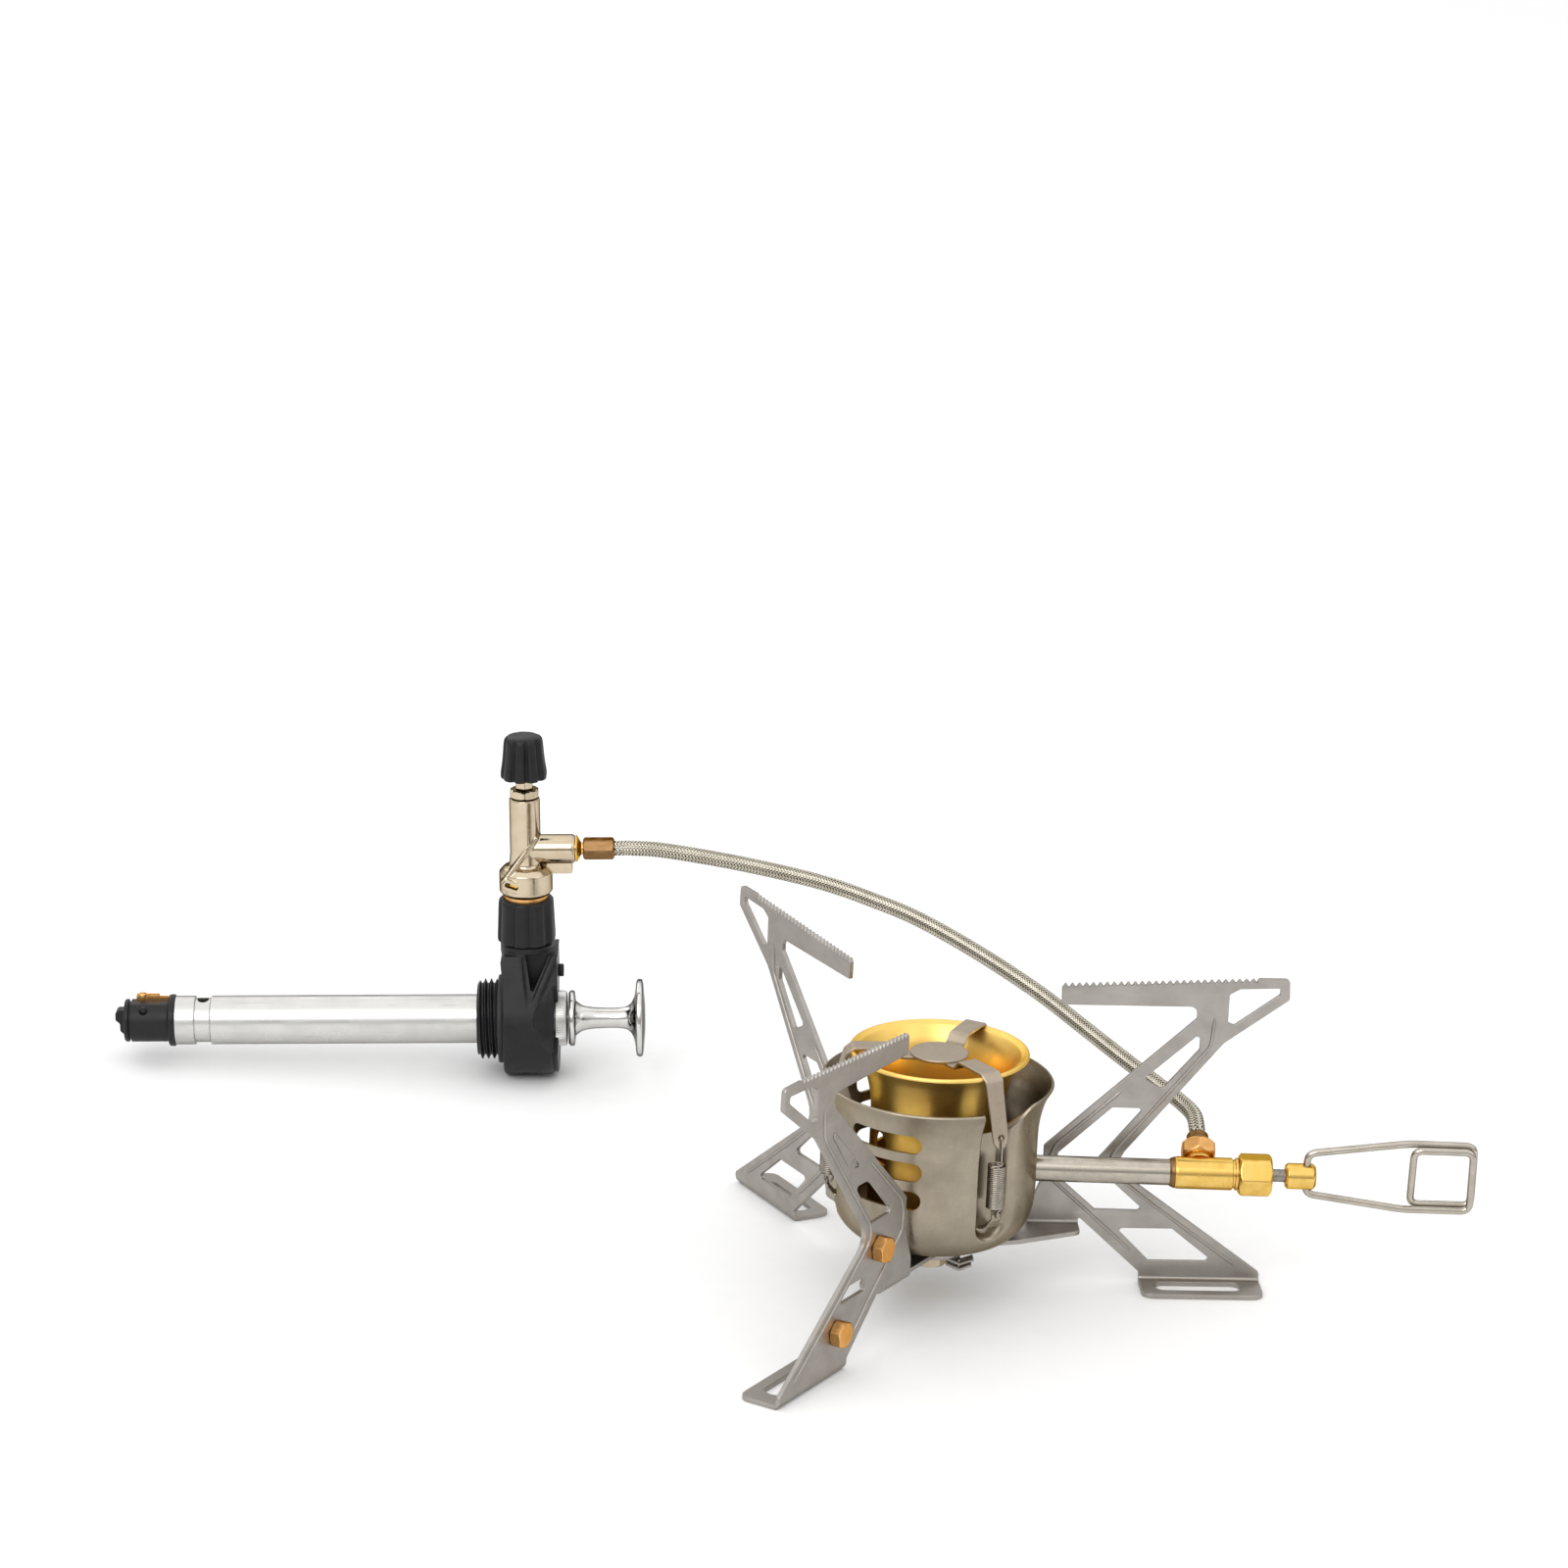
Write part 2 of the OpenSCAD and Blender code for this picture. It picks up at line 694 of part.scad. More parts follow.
module spreader_springs() {
  color([0.5, 0.48, 0.45])
    stove()
      for (a = channels)
        rotate([0, 0, a])
          translate([spring_at, 0, 0])
            sweep(spring_path, spring_wire, 6);
}

module priming_pad() {
  z0 = cup_base + cup_t + bell_t;
  color([0.85, 0.82, 0.75])
    stove()
      difference() {
        z_bar(z0, z0 + 3, bell_foot - bell_t / 2 - free_gap);
        z_bar(z0 - 1, z0 + 4, stud_r + free_gap);
      }
}

module jet_block() {
  color([0.78, 0.6, 0.25])
    stove()
      difference() {
        z_bar(jet_block_z0, jet_block_z1, jet_block_r);
        translate([0, 0, tube_z])
          x_bar(3.2, 8, tube_r);
        translate([0, 0, tube_z])
          x_bar(-1, 4, 1);
        z_bar(jet_block_z0 - 1, jet_block_z0 + 3, stud_r);
        z_bar(tube_z, jet_block_z1 - 1, 1);
        z_bar(jet_block_z1 - 2, jet_block_z1 + 1, 2.2);
      }
}

module burner_jet() {
  z0 = jet_block_z1 - 2;
  color([0.82, 0.6, 0.22])
    stove()
      difference() {
        union() {
          z_bar(z0, jet_block_z1, 2.2);
          hex_bar(jet_block_z1, jet_block_z1 + 2.6, 6.6);
          z_bar(jet_block_z1 + 2.6, jet_block_z1 + 4, 2, 1.4);
        }
        z_bar(z0 - 1, jet_block_z1 + 3, 0.8);
        z_bar(z0, jet_block_z1 + 5, 0.25);
      }
}

module pivot_stud() {
  color([0.78, 0.6, 0.25])
    stove()
      z_bar(washer_z - 4, jet_block_z0 + 3, stud_r);
}

module pivot_washer() {
  color([0.6, 0.6, 0.6])
    stove()
      difference() {
        z_bar(washer_z, washer_z + 1, 7);
        z_bar(washer_z - 1, washer_z + 2, stud_r);
      }
}

module pivot_nut() {
  color([0.78, 0.6, 0.25])
    stove()
      difference() {
        hex_bar(washer_z - 3.4, washer_z, 9);
        z_bar(washer_z - 5, washer_z + 1, stud_r);
      }
}

module feed_tube() {
  color([0.66, 0.64, 0.6])
    stove()
      translate([0, 0, tube_z])
        difference() {
          x_bar(3.2, block_x + 2.6, tube_r);
          x_bar(2, block_x + 4, tube_r - 1);
        }
}

module inlet_block() {
  color([0.85, 0.65, 0.22])
    stove()
      difference() {
        union() {
          translate([0, 0, tube_z]) {
            x_bar(block_x - 0.8, block_x + 0.6, tube_r + 0.2, block_r);
            x_bar(block_x + 0.6, block_end - 1, block_r);
            x_bar(block_end - 1, block_end - 0.6, block_r - 0.4);
            x_bar(block_end - 0.6, block_end, block_r);
            x_bar(block_end, block_end + 4.8, thread_r);
          }
          at_inlet()
            z_bar(0, inlet_nut[0] + 3, 2.2);
        }
        translate([0, 0, tube_z]) {
          x_bar(block_x - 2, block_x + 2.6, tube_r);
          x_bar(block_x, block_end - 6, 2.4);
          x_bar(block_x, block_end + 6, spindle_r + run_gap);
        }
        at_inlet()
          z_bar(0, inlet_nut[1], 1);
      }
}

module gland_nut() {
  color([0.85, 0.65, 0.22])
    stove()
      translate([0, 0, tube_z])
        difference() {
          rotate([0, 90, 0])
            hex_bar(gland_x, gland_end, gland_af);
          x_bar(gland_x - 1, block_end + 6.8, thread_r);
          x_bar(gland_x, gland_end + 1, spindle_r + run_gap);
        }
}

module gland_packing() {
  color([0.15, 0.15, 0.15])
    stove()
      translate([0, 0, tube_z])
        difference() {
          x_bar(block_end + 4.8, block_end + 6.8, thread_r);
          x_bar(block_end + 4, block_end + 8, spindle_r + run_gap);
        }
}

module regulator_spindle() {
  color([0.5, 0.48, 0.45])
    stove()
      translate([0, 0, tube_z]) {
        x_bar(block_x + 4, block_x + 6, 0.4, spindle_r);
        x_bar(block_x + 6, knob_x + 2.6, spindle_r);
      }
}

module spindle_knob() {
  color([0.85, 0.65, 0.22])
    stove()
      difference() {
        translate([0, 0, tube_z])
          difference() {
            x_turned([[knob_x, 0], [knob_x, knob_r - 0.5], [knob_x + 0.5, knob_r],
                      [knob_x + knob_len - 0.5, knob_r], [knob_x + knob_len, knob_r - 0.5], [knob_x + knob_len, 0]]);
            x_bar(knob_x - 1, knob_x + 2.6, spindle_r);
          }
        translate([wire_x, 0, 0])
          z_bar(tube_z - 6, tube_z + 6, wire_r + run_gap);
      }
}

// Wire that goes round the handle's square twice, crosses itself in front and returns
function wire_bend(a, b, c, r) =
  let (p = b + unit(a - b) * r, q = b + unit(c - b) * r)
  [for (t = [0 : 0.25 : 1]) (1 - t) * (1 - t) * p + 2 * t * (1 - t) * b + t * t * q];
square_x = loop_x - 16.6;
wire_lay = 2 * wire_r + 0.42;
wire_top = 10;
wire_low = -8.4;
wire_points = [
  [wire_x, 0, 1.2], [wire_x, 0, 7.4], [square_x - 3, 0, wire_top], [loop_x, 0, wire_top], [loop_x, 0, wire_low],
  [square_x, 0, wire_low], [square_x, 0, wire_top - wire_lay], [loop_x - wire_lay, 0, wire_top - wire_lay],
  [loop_x - wire_lay, 0, wire_low + wire_lay], [square_x + 5, -0.4, wire_low + wire_lay],
  [square_x, -wire_lay, wire_low + wire_lay], [square_x - 6, -0.4, wire_low + wire_lay + 0.2],
  [wire_x, 0, -5.6], [wire_x, 0, -1.2]];
wire_path = concat(
  [wire_points[0]],
  [for (i = [1 : len(wire_points) - 2]) each wire_bend(wire_points[i - 1], wire_points[i], wire_points[i + 1], 2.1)],
  [wire_points[len(wire_points) - 1]]);

module wire_handle() {
  color([0.66, 0.64, 0.6])
    stove()
      translate([0, 0, tube_z])
        sweep(wire_path, wire_r, 12);
}

module hose_nut() {
  color([0.72, 0.48, 0.22])
    stove()
      at_inlet()
        difference() {
          hex_bar(inlet_nut[0], inlet_nut[1], 8.8);
          z_bar(inlet_nut[0] - 1, inlet_nut[0] + 3, 2.2);
          z_bar(inlet_nut[0], inlet_nut[1] + 1, 1);
        }
}

module hose_ferrule_stove() {
  color([0.45, 0.33, 0.2])
    stove()
      at_inlet()
        difference() {
          z_bar(inlet_nut[1], inlet_ferrule, 3.2, 2.7);
          z_bar(inlet_nut[1] - 1, inlet_ferrule + 1, 1);
        }
}

module fuel_hose() {
  color([0.6, 0.57, 0.5])
    sweep(smooth(hose_route, 3), hose_r, 10);
}

module hose_ferrule_pump() {
  color([0.45, 0.33, 0.2])
    pump()
      translate([0, 0, branch_z])
        difference() {
          rotate([0, 90, 0])
            hex_bar(ferrule_x[0], ferrule_x[1], 6);
          x_bar(ferrule_x[0] - 1, ferrule_x[1] + 1, 1);
        }
}

module hose_adapter() {
  color([0.82, 0.62, 0.25])
    pump()
      translate([0, 0, branch_z])
        difference() {
          union() {
            x_bar(branch_x - 4, branch_x, 2.6);
            x_bar(branch_x, branch_x + 1.4, branch_r - 0.2, 2.4);
            x_bar(branch_x + 1.4, ferrule_x[0], 1.8);
          }
          x_bar(branch_x - 5, ferrule_x[0] + 1, 1);
        }
}

module valve_block() {
  color([0.75, 0.72, 0.66])
    pump()
      difference() {
        union() {
          z_bar(seat_z, nut_z1 + 0.2, spigot_r);
          z_bar(nut_z1 + 0.2, nut_z1 + 7.2, 7.9);
          z_bar(nut_z1 + 7.2, nut_z1 + 8.6, 7.9, 6.5);
          z_bar(nut_z1 + 8.6, column_z, column_r);
          translate([0, 0, branch_z])
            x_bar(0, branch_x, branch_r);
          translate([6.6, -1.6, branch_z - branch_r - 3.2])
            cube([7.6, 3.2, 4]);
          valve_rib();
        }
        z_bar(seat_z - 1, branch_z - 2, 1);
        z_bar(branch_z - 2.5, column_z + 1, stem_r + run_gap);
        translate([0, 0, branch_z]) {
          x_bar(branch_x - 4, branch_x + 1, 2.6);
          x_bar(0, branch_x, 1);
        }
      }
}

// Slanting rib on the front of the valve block
module valve_rib() {
  translate([0, -3.6, 0])
    rotate([90, 0, 0])
      linear_extrude(3)
        polygon(ribbon([[-6.6, nut_z1 + 4], [-5.2, nut_z1 + 6.6], [3.4, branch_z + 3]], 2.4));
}

module valve_gland_nut() {
  color([0.75, 0.72, 0.66])
    pump()
      difference() {
        hex_bar(column_z, column_z + 2.6, 8.2);
        z_bar(column_z - 1, column_z + 4, stem_r + run_gap);
      }
}

module valve_spindle() {
  color([0.55, 0.55, 0.55])
    pump() {
      z_bar(branch_z - 2.4, branch_z + 0.4, 0.5, stem_r);
      z_bar(branch_z + 0.4, column_z + 10, stem_r);
    }
}

// Grip of a hand-turned knob: a tapered body with round flutes
module fluted(z0, z1, r0, r1, flutes, depth) {
  difference() {
    union() {
      z_bar(z0, z0 + 0.6, r0 - 0.5, r0);
      z_bar(z0 + 0.6, z1 - 1, r0, r1);
      z_bar(z1 - 1, z1, r1, r1 - 0.9);
    }
    for (i = [0 : flutes - 1])
      rotate([0, 0, 360 * (i + 0.5) / flutes])
        translate([r0 + 2 - depth, 0, z0 - 1])
          rotate([0, -atan2(r0 - r1, z1 - z0), 0])
            cylinder(h = z1 - z0 + 3, r = 2, $fn = 32);
  }
}

module control_knob() {
  z0 = column_z + 5.8;
  color([0.1, 0.1, 0.1])
    pump()
      difference() {
        union() {
          fluted(z0, z0 + dial_h, dial_r, dial_r - 1.2, 9, 0.9);
          translate([0, 0, column_z + 2.8])
            linear_extrude(3.4)
              hexagon(4.9);
        }
        z_bar(column_z, column_z + 10, stem_r);
      }
}

module coupling_nut() {
  color([0.1, 0.1, 0.1])
    pump()
      difference() {
        fluted(nut_z0, nut_z1, nut_r, nut_r - 0.6, 10, 0.8);
        z_bar(seat_z - 1, nut_z1 + 1, spigot_r + run_gap);
        z_bar(nut_z0 - 1, seat_z, stub_r + free_gap);
      }
}

module port_stub() {
  color([0.8, 0.6, 0.25])
    pump()
      difference() {
        z_bar(barrel_r + 6, seat_z - 1.2, stub_r);
        z_bar(barrel_r + 5, seat_z, 1.5);
      }
}

module port_seal() {
  color([0.08, 0.08, 0.08])
    pump()
      difference() {
        z_bar(seat_z - 1.2, seat_z, stub_r);
        z_bar(seat_z - 2, seat_z + 1, 1.5);
      }
}

module pump_body() {
  color([0.1, 0.1, 0.1])
    pump()
      difference() {
        union() {
          x_bar(body_x0, 0.8, body_r);
          x_bar(0.8, body_x1 - 1.8, body_r - 2.6);
          x_bar(body_x1 - 1.8, body_x1, body_r - 0.6);
          x_bar(neck_x, body_x0 - seal_w, neck_r);
          x_bar(body_x0 - seal_w, body_x0, neck_r - 0.8);
          port_block();
          z_bar(tower_z - 1, nut_z0 - 0.2, tower_r);
          body_ribs();
        }
        x_bar(neck_x - 1, body_x1 + 1, barrel_r);
        z_bar(barrel_r + 6, nut_z0 + 1, stub_r);
        port_pockets();
        for (s = [-1, 1])
          translate([2.2, s * (body_r + 1), -body_r - 1])
            cube([4, 2, 6], center = true);
        translate([1.6, -20, -body_r - 1])
          cube([3.2, 40, 3.4]);
      }
}

// Block that carries the fuel port
module port_block() {
  translate([0, tower_w / 2, 0])
    rotate([90, 0, 0])
      linear_extrude(tower_w)
        polygon(rounded([[body_x0, barrel_r, 0], [body_x0, neck_r + 2.4, 0], [body_x0 - 0.7, tower_z - 2, 0.8],
                         [body_x0 + 0.6, tower_z, 0.8], [body_x1 - 0.4, tower_z, 0.8], [body_x1, tower_z - 2, 0.8],
                         [body_x1, barrel_r, 0]]));
}

// Wedge-shaped pockets in the front and the back of the port block
module port_pockets() {
  for (s = [-1, 1])
    translate([0, s * (pocket_y + 7.5) + 7.5, 0])
      rotate([90, 0, 0])
        linear_extrude(15)
          polygon(rounded([[-0.6, tower_z - 1.8, 0.6], [6.3, tower_z - 1.8, 0.6],
                           [1.7, 8.8, 0.4], [0.9, 8.8, 0.3]]));
}

// Stiffening ribs between the rim and the end flange of the pump body
module body_ribs() {
  for (a = [35 : 55 : 325])
    rotate([a, 0, 0])
      translate([0, -1, 9])
        cube([body_x1 - 1, 2, body_r - 10]);
}

module bottle_seal() {
  color([0.08, 0.08, 0.08])
    pump()
      difference() {
        x_bar(body_x0 - seal_w, body_x0, neck_r + 1.2);
        x_bar(body_x0 - 3, body_x0 + 1, neck_r - 0.8);
      }
}

module vent_screw() {
  color([0.08, 0.08, 0.08])
    pump()
      translate([0, 0, 15.2])
        x_bar(body_x1, body_x1 + 1.6, 1.9);
}

module pump_barrel() {
  r = barrel_r;
  g = barrel_r - 1;
  x0 = -barrel_len;
  color([0.78, 0.77, 0.75])
    pump()
      x_turned([[x0, bore_r], [x0, r], [x0 + 5.8, r], [x0 + 6.4, g], [x0 + 9.6, g], [x0 + 10.2, r],
                [body_x1 - 1.2, r], [body_x1 - 1.2, bore_r], [x0 + 10.4, bore_r], [x0 + 9.8, g - barrel_t],
                [x0 + 6.2, g - barrel_t], [x0 + 5.6, bore_r]]);
}

module barrel_end() {
  x0 = -barrel_len;
  color([0.1, 0.1, 0.1])
    pump()
      difference() {
        union() {
          x_bar(x0, x0 + 4, bore_r);
          x_bar(x0 - 2.4, x0, barrel_r + 0.5);
          x_bar(x0 - 14, x0 - 2.4, barrel_r - 0.9);
          x_bar(x0 - 14.6, x0 - 14, barrel_r - 2);
          x_bar(x0 - 16.6, x0 - 14.6, barrel_r - 0.9);
          for (s = [-1, 1])
            translate([x0 - 19, -1.6, s * 2.2 - 1.3])
              cube([3, 3.2, 2.6]);
        }
        x_bar(x0 - 12.6, x0 + 5, 4);
        translate([x0 - 10, -8, 3])
          rotate([-90, 0, 0])
            cylinder(h = 5, r = 1.4);
        translate([x0 - 10, -8, 1.6])
          cube([4.4, 4.5, 2.8]);
      }
}

module check_disc() {
  x0 = -barrel_len;
  color([0.08, 0.08, 0.08])
    pump()
      x_bar(x0 - 12.6, x0 - 11, 3.6);
}

module fuel_pickup() {
  x0 = -barrel_len;
  r = barrel_r - 0.9;
  color([0.8, 0.6, 0.25])
    pump()
      intersection() {
        difference() {
          union() {
            x_bar(x0 - 12.6, x0 - 6, r + 2);
            x_bar(x0 - 6, x0 - 2.4, r + 0.9);
          }
          x_bar(x0 - 20, x0, r);
        }
        translate([x0 - 20, -2.6, 0])
          cube([30, 5.2, 12]);
      }
}

module pump_collar() {
  color([0.78, 0.77, 0.75])
    pump()
      difference() {
        union() {
          x_bar(body_x1 - 5.2, body_x1 - 1.2, bore_r);
          x_bar(body_x1 - 1.2, body_x1, barrel_r);
          x_bar(body_x1, collar_x - 0.4, barrel_r + 1);
          x_bar(collar_x - 0.4, collar_x, barrel_r + 1, barrel_r + 0.6);
        }
        x_bar(body_x1 - 6, collar_x + 1, rod_r + run_gap);
      }
}

module plunger_rod() {
  color([0.6, 0.6, 0.6])
    pump()
      x_bar(piston_x, collar_x + 4, rod_r);
}

module plunger_grip() {
  x0 = collar_x + 0.5;
  spool = [for (i = [0 : 8]) [x0 + 2.2 + (grip_x - x0 - 5.8) * i / 8, 4.6 - 1.5 * sin(180 * i / 8)]];
  color([0.8, 0.79, 0.77])
    pump()
      difference() {
        x_turned(concat(
          [[x0, 0], [x0, 4.2], [x0 + 0.3, 7.9], [x0 + 0.8, barrel_r + 1], [x0 + 1.7, barrel_r + 1], [x0 + 2.1, 7.6]],
          spool,
          [[grip_x - 3.4, grip_r - 0.6], [grip_x - 2.9, grip_r], [grip_x - 0.6, grip_r], [grip_x, grip_r - 0.7],
           [grip_x, grip_r - 1.8], [grip_x - 1.4, grip_r - 4], [grip_x - 1.6, 0]]));
        x_bar(x0 - 1, collar_x + 4, rod_r);
      }
}

module piston() {
  color([0.8, 0.6, 0.25])
    pump()
      difference() {
        x_bar(piston_x + 0.4, piston_x + 3, bore_r - 1.2);
        x_bar(piston_x - 1, piston_x + 4, rod_r);
      }
}

module piston_cup() {
  color([0.3, 0.2, 0.12])
    pump()
      difference() {
        x_bar(piston_x - 1.6, piston_x + 4.2, bore_r - run_gap);
        x_bar(piston_x - 2, piston_x + 3, bore_r - 1.2);
        x_bar(piston_x, piston_x + 5, rod_r);
      }
}

burner_cup();
cup_wall_right();
cup_wall_back();
cup_wall_front();
burner_bell();
flame_spreader();
spreader_springs();
priming_pad();
jet_block();
burner_jet();
pivot_stud();
pivot_washer();
pivot_nut();
leg_fixed();
leg_back();
leg_front();
spare_jets();
feed_tube();
inlet_block();
gland_nut();
gland_packing();
regulator_spindle();
spindle_knob();
wire_handle();
hose_nut();
hose_ferrule_stove();
fuel_hose();
hose_ferrule_pump();
hose_adapter();
valve_block();
valve_gland_nut();
valve_spindle();
control_knob();
coupling_nut();
port_stub();
port_seal();
pump_body();
bottle_seal();
vent_screw();
pump_barrel();
barrel_end();
check_disc();
fuel_pickup();
pump_collar();
plunger_rod();
plunger_grip();
piston();
piston_cup();
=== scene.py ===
"""Looks for the multi-fuel camping stove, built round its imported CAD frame."""

import math

import bmesh
import bpy
import numpy as np
from mathutils import Matrix, Vector


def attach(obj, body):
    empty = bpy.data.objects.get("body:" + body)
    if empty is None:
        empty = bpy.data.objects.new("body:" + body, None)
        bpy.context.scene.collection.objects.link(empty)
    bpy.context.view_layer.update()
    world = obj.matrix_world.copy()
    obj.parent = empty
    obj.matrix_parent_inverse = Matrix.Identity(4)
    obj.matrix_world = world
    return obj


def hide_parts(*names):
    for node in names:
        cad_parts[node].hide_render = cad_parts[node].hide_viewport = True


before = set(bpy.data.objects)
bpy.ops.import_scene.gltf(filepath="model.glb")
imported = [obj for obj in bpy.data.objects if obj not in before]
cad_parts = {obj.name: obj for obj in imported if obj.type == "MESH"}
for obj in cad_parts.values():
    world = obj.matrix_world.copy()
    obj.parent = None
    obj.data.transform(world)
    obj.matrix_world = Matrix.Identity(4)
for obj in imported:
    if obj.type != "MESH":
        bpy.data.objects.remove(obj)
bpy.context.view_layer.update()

bl_info = {
    "name": "Camping stove looks",
    "version": (1, 0, 0),
    "blender": (4, 5, 0),
    "location": "View3D > Sidebar > Stove",
    "description": "Finishes and detailed pieces for a burner, hose and bottle pump",
    "category": "Object",
}

MM = 0.001
ROOT = "stove_and_pump"
# Row frame of the burner axis on the ground, and of the leaning pump at its valve axis
STOVE = Matrix.Translation((0.0465, -0.046, 0.0))
LEAN = math.radians(2.3)
PUMP = Matrix.Translation((-0.0683, 0.114, 0.0168756)) @ Matrix.Rotation(-LEAN, 4, "Y")
# Directions of the cup's spring channels, each leg's direction and body, and the height of the feed tube
CHANNELS = (63.0, 183.0, 303.0)
LEGS = {"leg_fixed": (2.5, ROOT), "leg_back": (119.0, "back_leg"), "leg_front": (237.8, "front_leg")}
TUBE_Z = 36.6


# ---------------------------------------------------------------- settings

def length(name, about, mm):
    return bpy.props.FloatProperty(name=name, description=about, default=mm * MM, unit="LENGTH")


def shade(name, about, rgb):
    return bpy.props.FloatVectorProperty(
        name=name, description=about, default=rgb, size=3, min=0.0, max=1.0, subtype="COLOR")


class StoveSizes(bpy.types.PropertyGroup):
    hose_r: length("Hose radius", "Outside radius of the braided hose", 2.3)
    strand_w: length("Strand width", "Width of one braided strand", 0.50)
    braid_pitch: length("Braid pitch", "Length of one turn of a strand", 12.4)
    braid_carriers: bpy.props.IntProperty(
        name="Carriers", description="Strands in each direction of the braid", default=12)
    spring_curls: bpy.props.IntProperty(
        name="Spring curls", description="Curls in one spreader spring", default=23)
    spring_wire: length("Spring wire", "Radius of the spring wire", 0.265)
    wire_r: length("Handle wire", "Radius of the handle wire", 1.0)
    edge: length("Sheet edge", "Rounding of the edges of the leg sheet", 0.16)
    bead: length("Bead height", "Height of the beads pressed into the legs", 0.42)
    thread_pitch: length("Thread pitch", "Pitch of the bottle thread", 1.75)


class StoveColours(bpy.types.PropertyGroup):
    sheet: shade("Leg sheet", "Satin stainless sheet of the legs", (0.385, 0.362, 0.332))
    cup: shade("Cup steel", "Warm stainless steel of the cup", (0.345, 0.298, 0.230))
    bell: shade("Bell brass", "Brass of the burner bell", (0.95, 0.63, 0.18))
    brass: shade("Bright brass", "Turned brass of the feed line", (0.82, 0.54, 0.14))
    copper: shade("Red brass", "Hose nut and spare jets", (0.80, 0.43, 0.15))
    bronze: shade("Bronze", "Hose ferrules", (0.23, 0.132, 0.057))
    spreader: shade("Spreader steel", "Grey steel of the flame spreader", (0.432, 0.362, 0.282))
    wire: shade("Drawn steel", "Tube, handle wire and springs", (0.49, 0.445, 0.38))
    braid: shade("Braid wire", "Steel wire of the hose braid", (0.56, 0.515, 0.425))
    nickel: shade("Nickel", "Plated valve block", (0.62, 0.515, 0.375))
    plastic: shade("Black plastic", "Knobs and pump body", (0.0098, 0.0098, 0.0108))
    alu: shade("Aluminium", "Pump barrel", (0.64, 0.635, 0.615))


def sizes():
    return bpy.context.scene.stove_sizes


def colours():
    return bpy.context.scene.stove_colours


# ---------------------------------------------------------------- shader groups

def feed(tree, socket, value):
    """Gives an input a constant, or links it to another node."""
    if isinstance(value, bpy.types.NodeSocket):
        tree.links.new(value, socket)
    else:
        socket.default_value = value


def add(tree, kind, inputs=None, **settings):
    n = tree.nodes.new(kind)
    for k, v in settings.items():
        setattr(n, k, v)
    for k, v in (inputs or {}).items():
        feed(tree, n.inputs[k], v)
    return n


def maths(tree, operation, *values):
    return add(tree, "ShaderNodeMath", dict(enumerate(values)), operation=operation).outputs[0]


def noise(tree, vector, scale, detail, roughness=0.5):
    values = {"Vector": vector, "Scale": scale, "Detail": detail, "Roughness": roughness}
    return add(tree, "ShaderNodeTexNoise", values).outputs["Fac"]


def stretched(tree, value, low, high):
    """Runs from 0 to 1 while the value runs from low to high."""
    return add(tree, "ShaderNodeMapRange", {"Value": value, "From Min": low, "From Max": high}).outputs[0]


def new_group(name, outputs, **inputs):
    """Shader group on a vector: what it gives out, and its other inputs with their usual values."""
    tree = bpy.data.node_groups.new(name, "ShaderNodeTree")
    tree.interface.new_socket("Vector", in_out="INPUT", socket_type="NodeSocketVector")
    for label, value in inputs.items():
        kind = "NodeSocketVector" if isinstance(value, tuple) else "NodeSocketFloat"
        tree.interface.new_socket(label, in_out="INPUT", socket_type=kind).default_value = value
    for label in outputs:
        tree.interface.new_socket(label, in_out="OUTPUT", socket_type="NodeSocketFloat")
    return tree, tree.nodes.new("NodeGroupInput").outputs, tree.nodes.new("NodeGroupOutput").inputs


def grain_group():
    """Fine lines along one direction: a mask and a height."""
    t, i, o = new_group("Drawn grain", ("Mask", "Height"), Lines=(60.0, 900.0, 900.0))
    v = add(t, "ShaderNodeVectorMath", {0: i["Vector"], 1: i["Lines"]}, operation="MULTIPLY").outputs[0]
    fine = noise(t, v, 1.0, 4.0, 0.65)
    both = maths(t, "MULTIPLY_ADD", noise(t, v, 0.22, 2.0), 0.5, maths(t, "MULTIPLY", fine, 0.5))
    feed(t, o["Mask"], stretched(t, both, 0.34, 0.66))
    feed(t, o["Height"], fine)
    return t


def wear_group():
    """Cloudy handling marks and thin stray scratches."""
    t, i, o = new_group("Handling marks", ("Smudge", "Scratch"), Scale=90.0)
    marks = []
    for turn in ((0.3, 0.5, 0.35), (1.1, -0.6, 2.0)):
        spun = add(t, "ShaderNodeMapping", {"Vector": i["Vector"], "Rotation": turn, "Scale": (60.0, 2400.0, 2400.0)})
        marks.append(stretched(t, noise(t, spun.outputs[0], 1.0, 1.0), 0.72, 0.80))
    feed(t, o["Smudge"], stretched(t, noise(t, i["Vector"], i["Scale"], 5.0, 0.6), 0.38, 0.66))
    feed(t, o["Scratch"], maths(t, "MAXIMUM", *marks))
    return t


def height_band_group():
    """Soft-edged band between two heights, broken up by noise, for tones that grow darker towards the bottom."""
    t, i, o = new_group("Heat band", ("Mask",), From=0.06, To=0.03)
    height = add(t, "ShaderNodeSeparateXYZ", {0: i["Vector"]}).outputs["Z"]
    wander = maths(t, "MULTIPLY_ADD", noise(t, i["Vector"], 130.0, 4.0), 0.012, -0.006)
    band = add(t, "ShaderNodeMapRange", {"Value": maths(t, "ADD", height, wander), "From Min": i["From"],
                                         "From Max": i["To"]}, interpolation_type="SMOOTHSTEP")
    feed(t, o["Mask"], band.outputs[0])
    return t


def pits_group():
    """Fine cast or moulded grain."""
    t, i, o = new_group("Moulded grain", ("Mask", "Height"), Scale=2200.0)
    feed(t, o["Mask"], stretched(t, noise(t, i["Vector"], 160.0, 3.0), 0.36, 0.66))
    feed(t, o["Height"], noise(t, i["Vector"], i["Scale"], 3.0))
    return t


GROUPS, FINISHES = {}, {}


